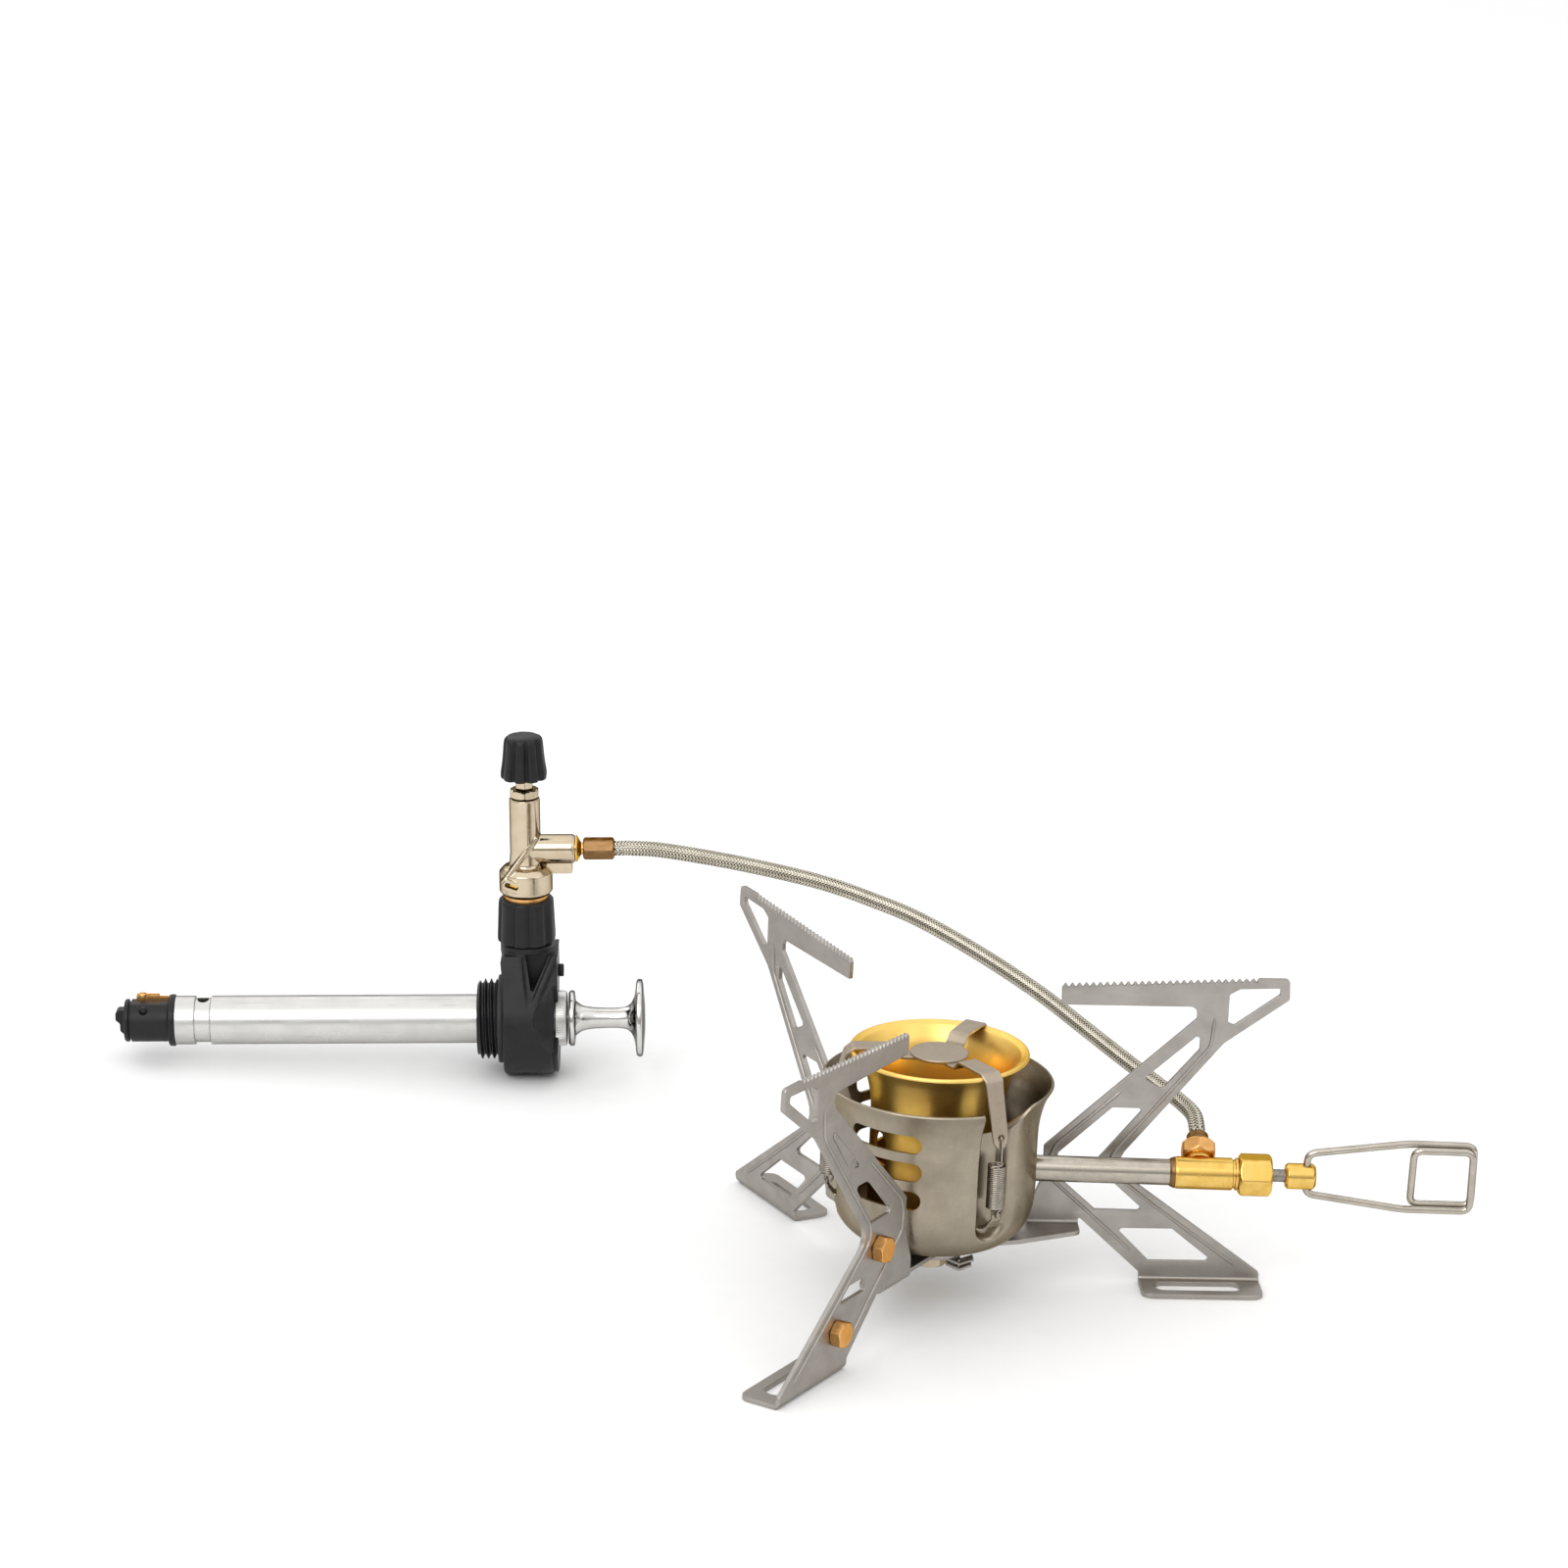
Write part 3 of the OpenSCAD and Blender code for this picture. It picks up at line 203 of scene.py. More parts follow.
def group(key):
    makers = {"grain": grain_group, "wear": wear_group, "height_band": height_band_group, "pits": pits_group}
    if key not in GROUPS:
        GROUPS[key] = makers[key]()
    return GROUPS[key]


class Finish:
    """A material under construction: one Principled shader fed by the shared groups."""

    def __init__(self, name, rgb, metallic, roughness):
        self.material = bpy.data.materials.new(name)
        self.material.use_nodes = True
        self.tree = self.material.node_tree
        self.colour = (*rgb, 1.0)
        self.put("Base Color", self.colour)
        self.put("Metallic", metallic)
        self.put("Roughness", roughness)
        self.material.diffuse_color = self.colour
        self.at = add(self.tree, "ShaderNodeTexCoord").outputs["Object"]

    def put(self, name, value):
        feed(self.tree, self.tree.nodes["Principled BSDF"].inputs[name], value)

    def use(self, key, **values):
        return add(self.tree, "ShaderNodeGroup", dict(values, Vector=self.at), node_tree=group(key)).outputs

    def tone(self, mask, rgb, amount):
        """Blends another colour in where the mask is high."""
        share = maths(self.tree, "MULTIPLY", mask, amount)
        mix = add(self.tree, "ShaderNodeMix", {"Factor": share, "A": self.colour, "B": (*rgb, 1.0)}, data_type="RGBA")
        self.colour = mix.outputs["Result"]
        self.put("Base Color", self.colour)

    def rough(self, mask, low, high):
        wide = add(self.tree, "ShaderNodeMapRange", {"Value": mask, "To Min": low, "To Max": high})
        self.put("Roughness", wide.outputs[0])

    def bump(self, height, depth_mm, strength):
        n = add(self.tree, "ShaderNodeBump", {"Height": height, "Strength": strength, "Distance": depth_mm * MM})
        self.put("Normal", n.outputs[0])


def darker(rgb, f):
    return tuple(c * f for c in rgb)


# One row per finish. A base is a colour of the panel, or one of its own. A tone is a mask, a colour (or a factor of the
# base) and a share; the first tone's mask also spreads the roughness. Height bands run between two heights in metres
# and make a finish darker towards the bottom.
# An edge darkens what a metal reflects near its silhouette, a painted dark reflection.
FINISH_ROWS = {
    "leg_sheet": dict(
        base="sheet", lines=(500.0, 500.0, 1400.0), wear=110.0, rough=(0.34, 0.48), bump=(0.012, 0.35),
        tones=(("Smudge", 0.86, 1.0), ("Mask", 1.10, 0.5), ("Scratch", (0.70, 0.68, 0.64), 0.16)),
        edge=(0.75, 0.73, 0.70)),
    "cup_steel": dict(
        base="cup", lines=(900.0, 900.0, 240.0), wear=75.0, heat=((0.034, 0.017),), rough=(0.27, 0.42),
        bump=(0.015, 0.4), edge=(0.55, 0.50, 0.42),
        tones=(("Smudge", (0.27, 0.232, 0.178), 1.0), ("Mask", (0.42, 0.37, 0.295), 0.35),
               ("Heat 0", (0.27, 0.23, 0.175), 0.6), ("Scratch", (0.66, 0.62, 0.54), 0.16))),
    "bell_brass": dict(
        base="bell", lines=(160.0, 160.0, 1600.0), wear=120.0, heat=((0.0675, 0.054), (0.056, 0.034)),
        rough=(0.34, 0.48), bump=(0.012, 0.35), edge=(0.70, 0.48, 0.20),
        tones=(("Smudge", (0.86, 0.59, 0.16), 1.0), ("Mask", (0.97, 0.72, 0.24), 0.35),
               ("Heat 0", (0.78, 0.48, 0.09), 0.8), ("Heat 1", (0.42, 0.22, 0.045), 0.8),
               ("Scratch", (0.30, 0.18, 0.06), 0.25))),
    "bright_brass": dict(
        base="brass", lines=(1500.0, 200.0, 200.0), wear=260.0, rough=(0.17, 0.31), bump=(0.01, 0.3),
        tones=(("Smudge", (0.70, 0.42, 0.085), 1.0), ("Mask", (0.90, 0.65, 0.25), 0.35),
               ("Scratch", (0.42, 0.25, 0.07), 0.4)), edge=(0.55, 0.36, 0.12)),
    "red_brass": dict(
        base="copper", lines=(700.0, 700.0, 220.0), wear=300.0, rough=(0.22, 0.38), bump=(0.012, 0.3),
        tones=(("Smudge", (0.66, 0.31, 0.09), 1.0), ("Mask", (0.90, 0.55, 0.23), 0.45)), edge=(0.50, 0.28, 0.12)),
    "ferrule_bronze": dict(
        base="bronze", lines=(300.0, 1400.0, 1400.0), wear=380.0, rough=(0.28, 0.46), bump=(0.015, 0.4),
        tones=(("Smudge", (0.33, 0.19, 0.08), 1.0), ("Mask", (0.15, 0.08, 0.035), 0.5)), edge=(0.40, 0.26, 0.15)),
    "spreader_steel": dict(
        base="spreader", lines=(600.0, 600.0, 1000.0), wear=170.0, rough=(0.38, 0.52), bump=(0.012, 0.35),
        tones=(("Smudge", 0.84, 1.0), ("Mask", 1.12, 0.4))),
    "drawn_steel": dict(
        base="wire", lines=(120.0, 1600.0, 1600.0), wear=210.0, rough=(0.15, 0.28), bump=(0.008, 0.25),
        tones=(("Smudge", (0.38, 0.34, 0.28), 1.0), ("Mask", (0.56, 0.52, 0.46), 0.4)), edge=(0.28, 0.26, 0.23)),
    "spring_steel": dict(
        base="wire", dim=0.9, wear=420.0, rough=(0.22, 0.36), tones=(("Smudge", 0.75, 1.0),), edge=(0.25, 0.22, 0.18)),
    "dark_spindle": dict(
        base=(0.17, 0.155, 0.135), pits=1500.0, wear=420.0, rough=(0.28, 0.46), bump=(0.05, 0.5),
        tones=(("Smudge", (0.34, 0.315, 0.28), 1.0),), edge=(0.2, 0.18, 0.16)),
    "braid_wire": dict(
        base="braid", lines=(1800.0, 1800.0, 1800.0), wear=140.0, rough=(0.22, 0.34),
        tones=(("Smudge", (0.44, 0.40, 0.32), 1.0), ("Mask", (0.66, 0.62, 0.53), 0.5))),
    "braid_core": dict(
        base=(0.022, 0.018, 0.013), metallic=0.0, pits=2600.0, rough=(0.5, 0.7), bump=(0.03, 1.0),
        tones=(("Mask", (0.04, 0.033, 0.023), 1.0),)),
    "champagne_nickel": dict(
        base="nickel", pits=900.0, wear=240.0, rough=(0.10, 0.19), bump=(0.05, 0.3), edge=(0.05, 0.04, 0.03),
        tones=(("Smudge", (0.55, 0.45, 0.31), 1.0), ("Mask", (0.70, 0.61, 0.48), 0.4))),
    "black_plastic": dict(
        base="plastic", metallic=0.0, specular=0.26, pits=2400.0, wear=120.0, rough=(0.36, 0.5), bump=(0.03, 0.45),
        tones=(("Mask", (0.0145, 0.0145, 0.016), 1.0), ("Scratch", (0.05, 0.05, 0.055), 0.25))),
    "barrel_alu": dict(
        base="alu", lines=(70.0, 1300.0, 1300.0), wear=100.0, rough=(0.27, 0.4), bump=(0.015, 0.35),
        tones=(("Smudge", (0.57, 0.565, 0.545), 1.0), ("Mask", (0.71, 0.705, 0.69), 0.45),
               ("Scratch", (0.34, 0.33, 0.31), 0.6)), edge=(0.42, 0.41, 0.40)),
    "polished_alu": dict(
        base=(0.72, 0.71, 0.69), lines=(1500.0, 140.0, 140.0), wear=160.0, rough=(0.09, 0.18), bump=(0.006, 0.25),
        tones=(("Smudge", (0.64, 0.63, 0.605), 1.0), ("Scratch", (0.50, 0.49, 0.47), 0.3)), edge=(0.10, 0.10, 0.10)),
    "seal_rubber": dict(
        base=(0.012, 0.012, 0.012), metallic=0.0, pits=1500.0, rough=(0.54, 0.68), bump=(0.06, 0.6),
        tones=(("Mask", (0.022, 0.022, 0.022), 1.0),)),
    "pad_felt": dict(
        base=(0.72, 0.68, 0.58), metallic=0.0, pits=900.0, rough=(0.82, 0.96), bump=(0.06, 0.6),
        tones=(("Mask", (0.62, 0.57, 0.46), 1.0),)),
    "cup_leather": dict(
        base=(0.13, 0.07, 0.035), metallic=0.0, pits=700.0, rough=(0.56, 0.70), bump=(0.06, 0.6),
        tones=(("Mask", (0.20, 0.11, 0.055), 1.0),)),
}


def build_finish(name, base, tones, rough, lines=None, pits=None, wear=None, heat=(), edge=None, bump=None,
                 metallic=1.0, dim=1.0, specular=None):
    rgb = darker(getattr(colours(), base) if isinstance(base, str) else base, dim)
    f = Finish(name, rgb, metallic, sum(rough) / 2)
    if specular is not None:
        f.put("Specular IOR Level", specular)
    masks = {}
    if lines:
        masks.update(f.use("grain", Lines=lines).items())
    if pits:
        masks.update(f.use("pits", Scale=pits).items())
    if wear:
        masks.update(f.use("wear", Scale=wear).items())
    for i, (start, end) in enumerate(heat):
        masks["Heat %d" % i] = f.use("height_band", From=start, To=end)["Mask"]
    for mask, colour, share in tones:
        f.tone(masks[mask], colour if isinstance(colour, tuple) else darker(rgb, colour), share)
    if edge:
        # Darkens what a metal reflects near its silhouette: painted dark reflections along the silhouettes
        f.put("Specular Tint", (*edge, 1.0))
    f.rough(masks[tones[0][0]], *rough)
    if bump:
        f.bump(masks["Height"], *bump)
    return f.material


def finish(key):
    if key not in FINISHES:
        FINISHES[key] = build_finish(key, **FINISH_ROWS[key])
    return FINISHES[key]


# ---------------------------------------------------------------- mesh helpers
# Shapes are (points, faces) in millimetres until they become a piece

def joined(*shapes):
    points, faces, n = [], [], 0
    for p, f in shapes:
        points.append(np.asarray(p, float))
        faces += [tuple(i + n for i in q) for q in f]
        n += len(p)
    return np.concatenate(points), faces


def moved(shape, matrix):
    m = np.array(matrix)
    return np.asarray(shape[0], float) @ m[:3, :3].T + m[:3, 3], shape[1]


def loft(rings, loop=False):
    """Skin over rings of equal length, closed with caps or as a loop."""
    k, n = len(rings), len(rings[0])
    last = k if loop else k - 1
    faces = [(i * n + j, i * n + (j + 1) % n, (i + 1) % k * n + (j + 1) % n, (i + 1) % k * n + j)
             for i in range(last) for j in range(n)]
    if not loop:
        faces += [tuple(range(n))[::-1], tuple((k - 1) * n + j for j in range(n))]
    return np.concatenate([np.asarray(r, float) for r in rings]), faces


def angles(n):
    return np.linspace(0.0, 2.0 * math.pi, n, endpoint=False)


def polar(levels, n, radius, axis="Z"):
    """Body about an axis: radius(angle, level index) at each height of levels."""
    a = angles(n)
    rings = []
    for i, h in enumerate(levels):
        r = np.broadcast_to(radius(a, i), a.shape)
        flat = (r * np.cos(a), r * np.sin(a), np.full(n, h))
        rings.append(np.stack(flat if axis == "Z" else (flat[2], flat[0], flat[1]), 1))
    return rings


def turned(profile, n=96, axis="Z", ring=False):
    """Turned body from (radius, height) points; a ring has a closed outline."""
    rings = polar([h for _, h in profile], n, lambda a, i: profile[i][0], axis)
    return loft(rings, loop=ring)


def eased(corners, closed=True, n=4):
    """Rounds the corners (x, y, radius) of an outline."""
    out, count = [], len(corners)
    for i, c in enumerate(corners):
        b, r = np.array(c[:2], float), c[2] if len(c) > 2 else 0.0
        if r == 0 or (not closed and i in (0, count - 1)):
            out.append(b)
            continue
        a, d = np.array(corners[i - 1][:2], float), np.array(corners[(i + 1) % count][:2], float)
        u, v = (a - b) / np.linalg.norm(a - b), (d - b) / np.linalg.norm(d - b)
        half = math.acos(max(-1.0, min(1.0, float(u @ v)))) / 2
        if half > math.radians(88):
            out.append(b)
            continue
        m = b + (u + v) / np.linalg.norm(u + v) * r / math.sin(half)
        w = b + u * r / math.tan(half) - m
        turn = -np.sign(u[0] * v[1] - u[1] * v[0]) * (math.pi - 2 * half)
        for k in range(n + 1):
            t = turn * k / n
            out.append(m + [w[0] * math.cos(t) - w[1] * math.sin(t), w[0] * math.sin(t) + w[1] * math.cos(t)])
    return np.array(out)


def lathe(corners, n, axis="Z", ring=False, steps=4):
    """Turned body from eased corners (radius, height, rounding); a ring has a closed outline."""
    return turned(eased(corners, ring, steps), n, axis, ring)


def unit_rows(v):
    return v / np.linalg.norm(v, axis=1)[:, None]


def curve_through(points, n):
    """Catmull-Rom curve through points, n steps between two of them."""
    p = np.asarray(points, float)
    m, out = len(p) - 1, []
    for i in range(m):
        a, b, c, d = p[max(i - 1, 0)], p[i], p[i + 1], p[min(i + 2, m)]
        for k in range(n):
            t = k / n
            out.append(0.5 * (2 * b + (c - a) * t + (2 * a - 5 * b + 4 * c - d) * t * t
                              + (3 * b - a - 3 * c + d) * t ** 3))
    out.append(p[m])
    return np.array(out)


def frames_along(path):
    """Tangent and two cross directions at each point, without twist."""
    t = unit_rows(np.gradient(path, axis=0))
    first = np.cross(t[0], (0.0, 0.0, 1.0))
    if np.linalg.norm(first) < 0.1:
        first = np.cross(t[0], (1.0, 0.0, 0.0))
    x = [first / np.linalg.norm(first)]
    for i in range(1, len(path)):
        v = x[-1] - t[i] * (x[-1] @ t[i])
        x.append(v / np.linalg.norm(v))
    x = np.array(x)
    return t, x, np.cross(t, x)


def swept(path, radius, sides):
    """Round bar along a path."""
    path = np.asarray(path, float)
    _, x, y = frames_along(path)
    a = angles(sides)
    return loft([p + radius * (np.cos(a)[:, None] * u + np.sin(a)[:, None] * v) for p, u, v in zip(path, x, y)])


def strip(path, widths, thick, soft=0.2):
    """Flat strip along a path in the X-Z plane, with eased edges."""
    p = np.asarray(path, float)
    t = unit_rows(np.gradient(p, axis=0))
    rings = []
    for (x, z), (tx, tz), w in zip(p, t, np.broadcast_to(widths, len(p))):
        h, k = w / 2, thick / 2
        outline = [(-h, -k + soft), (-h + soft, -k), (h - soft, -k), (h, -k + soft),
                   (h, k - soft), (h - soft, k), (-h + soft, k), (-h, k - soft)]
        rings.append([(x - tz * b, a, z + tx * b) for a, b in outline])
    return loft(rings)


def hex_body(z0, z1, flats, chamfer=0.5, bore=0.0, n=96):
    """Hexagon bar with turned chamfers, which leave an arch on each flat."""
    corner = flats / math.sqrt(3)
    drop = corner - flats / 2 + 0.15

    def radius(a, i):
        across = flats / 2 / np.cos((a + math.pi / 6) % (math.pi / 3) - math.pi / 6)
        return np.minimum(across, corner - 0.12 - rings[i][1])
    steps = np.linspace(0.0, 1.0, 5)
    rings = [(z0 + chamfer * s, drop * (1 - s)) for s in steps] + [(z1 - chamfer * (1 - s), drop * s) for s in steps]
    skin = polar([h for h, _ in rings], n, radius)
    if bore:
        return loft(skin + polar((z1, z0), n, lambda a, i: bore), loop=True)
    return loft(skin)


def sheet(loops, thick, edge):
    """Flat sheet with rounded edges from an outline and its holes: points (u, v, w)."""
    curve = bpy.data.curves.new("sheet", "CURVE")
    curve.dimensions, curve.fill_mode = "2D", "BOTH"
    curve.extrude, curve.bevel_depth = thick / 2 - edge, edge
    curve.bevel_resolution, curve.offset = 1, -edge
    for loop in loops:
        s = curve.splines.new("POLY")
        s.points.add(len(loop) - 1)
        s.use_cyclic_u = True
        for point, (u, v) in zip(s.points, loop):
            point.co = (u, v, 0.0, 1.0)
    carrier = bpy.data.objects.new("sheet", curve)
    mesh = bpy.data.meshes.new_from_object(carrier)
    shape = (np.array([v.co for v in mesh.vertices]), [tuple(f.vertices) for f in mesh.polygons])
    bpy.data.objects.remove(carrier)
    bpy.data.curves.remove(curve)
    bpy.data.meshes.remove(mesh)
    return shape


# Points closer than this become one
WELD = 0.002


def mesh_of(name, shape, weld=WELD):
    mesh = bpy.data.meshes.new(name)
    mesh.from_pydata((np.asarray(shape[0]) * MM).tolist(), [], [tuple(int(i) for i in f) for f in shape[1]])
    if weld:
        bm = bmesh.new()
        bm.from_mesh(mesh)
        bmesh.ops.remove_doubles(bm, verts=bm.verts, dist=weld * MM)
        bmesh.ops.dissolve_degenerate(bm, edges=bm.edges, dist=weld * MM)
        bmesh.ops.recalc_face_normals(bm, faces=bm.faces)
        bm.to_mesh(mesh)
        bm.free()
    return mesh


def evaluated(obj):
    """Gives an object the mesh that its modifiers make, and drops them."""
    bpy.context.view_layer.update()
    made = bpy.data.meshes.new_from_object(obj.evaluated_get(bpy.context.evaluated_depsgraph_get()))
    obj.modifiers.clear()
    old, obj.data = obj.data, made
    bpy.data.meshes.remove(old)


def cut(obj, *shapes):
    """Takes shapes, which don't touch each other, out of a piece that still sits at the origin."""
    tool = bpy.data.objects.new("cutter", mesh_of("cutter", joined(*shapes)))
    bpy.context.collection.objects.link(tool)
    m = obj.modifiers.new("cut", "BOOLEAN")
    m.object, m.operation, m.solver = tool, "DIFFERENCE", "EXACT"
    evaluated(obj)
    mesh = tool.data
    bpy.data.objects.remove(tool)
    bpy.data.meshes.remove(mesh)


def fused(obj, voxel):
    """Blends overlapping shapes into one skin with soft corners, as in a casting or moulding."""
    m = obj.modifiers.new("skin", "REMESH")
    m.mode, m.voxel_size = "VOXEL", voxel * MM
    m = obj.modifiers.new("soften", "SMOOTH")
    m.factor, m.iterations = 0.5, 4
    evaluated(obj)


def piece(name, shape, key, body=ROOT, at=STOVE, stands_for=(), sharp=40.0, weld=WELD, cuts=(),
          later=(), voxel=0.0, even=True):
    """Makes one piece, cuts it in one or two goes, dresses it and hides the frame's parts that it stands for."""
    obj = bpy.data.objects.new(name, mesh_of(name, shape, weld))
    bpy.context.collection.objects.link(obj)
    if voxel:
        fused(obj, voxel)
    for shapes in (cuts, later):
        if shapes:
            cut(obj, *shapes)
    obj.data.name = name
    obj.data.materials.clear()
    obj.data.materials.append(finish(key))
    obj.data.shade_smooth()
    obj.data.set_sharp_from_angle(angle=math.radians(sharp))
    if even:
        m = obj.modifiers.new("even", "WEIGHTED_NORMAL")
        m.keep_sharp = True
    obj.matrix_world = at
    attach(obj, body)
    if stands_for:
        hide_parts(*stands_for)
    return obj


def turn_z(degrees):
    return Matrix.Rotation(math.radians(degrees), 4, "Z")


def shift(x, y, z):
    return Matrix.Translation((x, y, z))


# Lays a shape that stands about Z along X
ALONG_X = Matrix.Rotation(math.pi / 2, 4, "Y")


def prism(outline, d0, d1, axis):
    """Straight bar of an outline: (y, z) along X, or (x, z) along Y, or (x, y) along Z."""
    place = {"X": lambda p, d: (d, p[0], p[1]), "Y": lambda p, d: (p[0], d, p[1]), "Z": lambda p, d: (p[0], p[1], d)}
    return loft([[place[axis](p, d) for p in outline] for d in (d0, d1)])


def tapered(levels, left, right, half):
    """Upright bar with a rectangular section: its sides in x and its half depth in y at each level."""
    return loft([[(x0, -y, z), (x1, -y, z), (x1, y, z), (x0, y, z)]
                 for z, x0, x1, y in np.broadcast(levels, left, right, half)])


def bar(r, d0, d1, axis="Z", n=64):
    return turned([(0.0, d0), (r, d0), (r, d1), (0.0, d1)], n, axis)


def knurled(levels, radii, depths, rows, axis="Z"):
    """Round body with straight grooves: radius and groove depth at each level."""
    groove = np.arange(rows * 4) % 4 > 1
    return loft(polar(levels, rows * 4, lambda a, i: radii[i] - depths[i] * groove, axis))


# ---------------------------------------------------------------- hose

# Points of the hose between its fittings, from the burner axis
HOSE_MIDDLE = ((-75, 157.6, 71.6), (-52, 149.6, 70.8), (-29, 137.6, 69.8), (-12, 125.6, 68), (0, 116, 66),
               (16, 99, 62.4), (31.6, 80.5, 58), (43, 65, 54), (54, 48, 50.6), (61.4, 35.6, 48.9),
               (67.2, 25.6, 47.6), (70.6, 18.4, 46.2))
# Where the hose leaves its fittings: along the valve's side branch, and along the inlet that rises from the tube
BRANCH_Z, BRANCH_END = 53.2, 26.4
INLET_X, INLET_END = 71.2, 12.9
INLET_TILT = Matrix.Rotation(math.radians(32.0) - math.pi / 2, 4, "X")
INLET = STOVE @ shift(INLET_X * MM, 0.0, TUBE_Z * MM) @ INLET_TILT


def hose_route():
    """Centreline of the hose in the row frame, in millimetres."""
    out = np.array(PUMP.to_3x3() @ Vector((1.0, 0.0, 0.0)))
    start = np.array(PUMP @ Vector((BRANCH_END * MM, 0.0, BRANCH_Z * MM))) / MM
    into = np.array(INLET.to_3x3() @ Vector((0.0, 0.0, 1.0)))
    end = np.array(INLET @ Vector((0.0, 0.0, INLET_END * MM))) / MM
    middle = np.array(HOSE_MIDDLE) + np.array(STOVE.translation) / MM
    return curve_through([start + d * out for d in (0.0, 1.5, 5.0)] + list(middle)
                         + [end + d * into for d in (1.6, 0.0)], 8)


def run_length(path):
    return np.concatenate(([0.0], np.cumsum(np.linalg.norm(np.diff(path, axis=0), axis=1))))


def stepped(path, count):
    """The same path in even steps."""
    s = run_length(path)
    at = np.linspace(0.0, s[-1], count)
    return np.stack([np.interp(at, s, path[:, i]) for i in range(3)], 1), at


def braid(route, outer, width, pitch, carriers):
    """Two-over, two-under braid of flat strands round a route."""
    total = run_length(route)[-1]
    path, at = stepped(route, int(total / pitch * 2 * carriers * 1.5))
    _, x, y = frames_along(path)
    half, wave = 0.17, 0.235  # half thickness of a strand, and how far it rises and dips
    middle = outer - half - wave
    crossing = 2 * carriers * at / pitch
    a = angles(5) + 0.5 * math.pi
    strands = []
    for way in (1, -1):
        for k in range(carriers):
            turn = 2 * math.pi * (k / carriers + way * at / pitch)
            beat = crossing + 2 * k - 0.5 if way > 0 else 2 * k - crossing - 2.5
            lift = np.clip(1.25 * np.cos(0.5 * math.pi * beat), -1.0, 1.0)
            out = np.cos(turn)[:, None] * x + np.sin(turn)[:, None] * y
            line = path + (middle + wave * lift)[:, None] * out
            t = np.gradient(line, axis=0)
            across = unit_rows(np.cross(t, out))
            rings = (line[:, None] + width / 2 * np.cos(a)[None, :, None] * across[:, None]
                     + half * np.sin(a)[None, :, None] * out[:, None])
            strands.append(loft(list(rings)))
    return joined(*strands)


class STOVE_OT_hose(bpy.types.Operator):
    """Braids the steel hose from the pump valve to the stove's inlet block"""
    bl_idname = "stove.hose"
    bl_label = "Braided hose"

    def execute(self, context):
        s = sizes()
        route = hose_route()
        woven = braid(route, s.hose_r / MM, s.strand_w / MM, s.braid_pitch / MM, s.braid_carriers)
        under_braid = 0.62
        core = swept(stepped(route, 240)[0], s.hose_r / MM - under_braid, 20)
        hose = piece("hose_braid", joined(woven, core), "braid_wire", at=Matrix.Identity(4), weld=0.0,
                     stands_for=("fuel_hose",), sharp=80.0, even=False)
        hose.data.materials.append(finish("braid_core"))
        which = np.zeros(len(hose.data.polygons), dtype=np.int32)
        which[len(woven[1]):] = 1
        hose.data.polygons.foreach_set("material_index", which)
        return {"FINISHED"}


# ---------------------------------------------------------------- legs

# Leg sheet: thickness, outer radius of its folds, and how far its upright stands beside the burner axis
LEG_T, BEND, PLATE = 1.3, 2.2, 8.65
# Radius of the sheet's middle in a fold, and its length round the fold
NEUTRAL = BEND - LEG_T / 2
WRAP = NEUTRAL * math.pi / 2
FOOT_EDGE = -3.2
# Pivot rings: height of each underside, then radius, distance from the fold to the centre, and radius of the hole
RINGS = {"leg_fixed": 16.1, "leg_front": 14.7, "leg_back": 13.3}
RING_R, RING_OFF, PIVOT_R = 10.5, 7.1, 3.3
# Beads and windows of the upright: distance from the burner axis, height and rounding of each corner
OUTER_BEAD = ((74.4, 77), (73.8, 68.6, 6), (46.4, 34.2, 5), (61.6, 22.2, 5), (84.6, 5.2))
INNER_BEAD = ((50.5, 55.6), (33.4, 39.8, 3), (31.9, 36, 3), (32.2, 30.4, 3), (42, 21.6, 4), (55.4, 9.4))
HEAD = ((78, 83.4, 1), (80.8, 85, 1), (91.6, 85.4, 0.6), (91.6, 83.6, 0.8), (79.7, 74.7, 1), (78, 75.4, 0.8))
UPPER = ((56.2, 59, 0.8), (69.8, 71.4, 0.5), (70.8, 71, 0.5), (70.8, 67.6, 1), (61.4, 56.2, 1))
WAIST = ((48.2, 50.7, 0.8), (56.8, 50.6, 0.8), (43.8, 34.3, 2), (58.6, 21, 0.8), (45, 21.2, 0.8),
         (34.4, 30.6, 1.5), (34.2, 37.4, 1))
SHIN = ((51, 15.9, 0.8), (66.4, 15.9, 0.8), (78.2, 6.5, 0.8), (60.4, 6.5, 0.8))
SMALL = ((50.4, 19.6, 0.6), (49.4, 23.4, 0.6), (58.2, 23.4, 0.6), (63.2, 19.6, 0.5))
HALF = ((50, 50.3, 0.8), (57, 50.3, 0.8), (48.2, 37.6, 1), (37.2, 37.6, 1))
NICK = ((55.2, 55.6, 0.3), (57.6, 58.2, 0.3), (57.9, 55.9, 0.3))
PANEL = ((57.9, 58.6, 0.6), (69.2, 69.4, 0.5), (69.7, 67.8, 0.6), (61.6, 57.4, 0.6))
WINDOWS = {"leg_fixed": (HEAD, UPPER, WAIST, SHIN), "leg_back": (HEAD, UPPER, WAIST, SHIN),
           "leg_front": (HEAD, HALF, SMALL, NICK)}
JET_HOLES = ((44.0, 29.4), (64.0, 12.4))


def round_hole(u, v, r, n=32):
    return [(u + r * math.cos(a), v + r * math.sin(a)) for a in angles(n)]


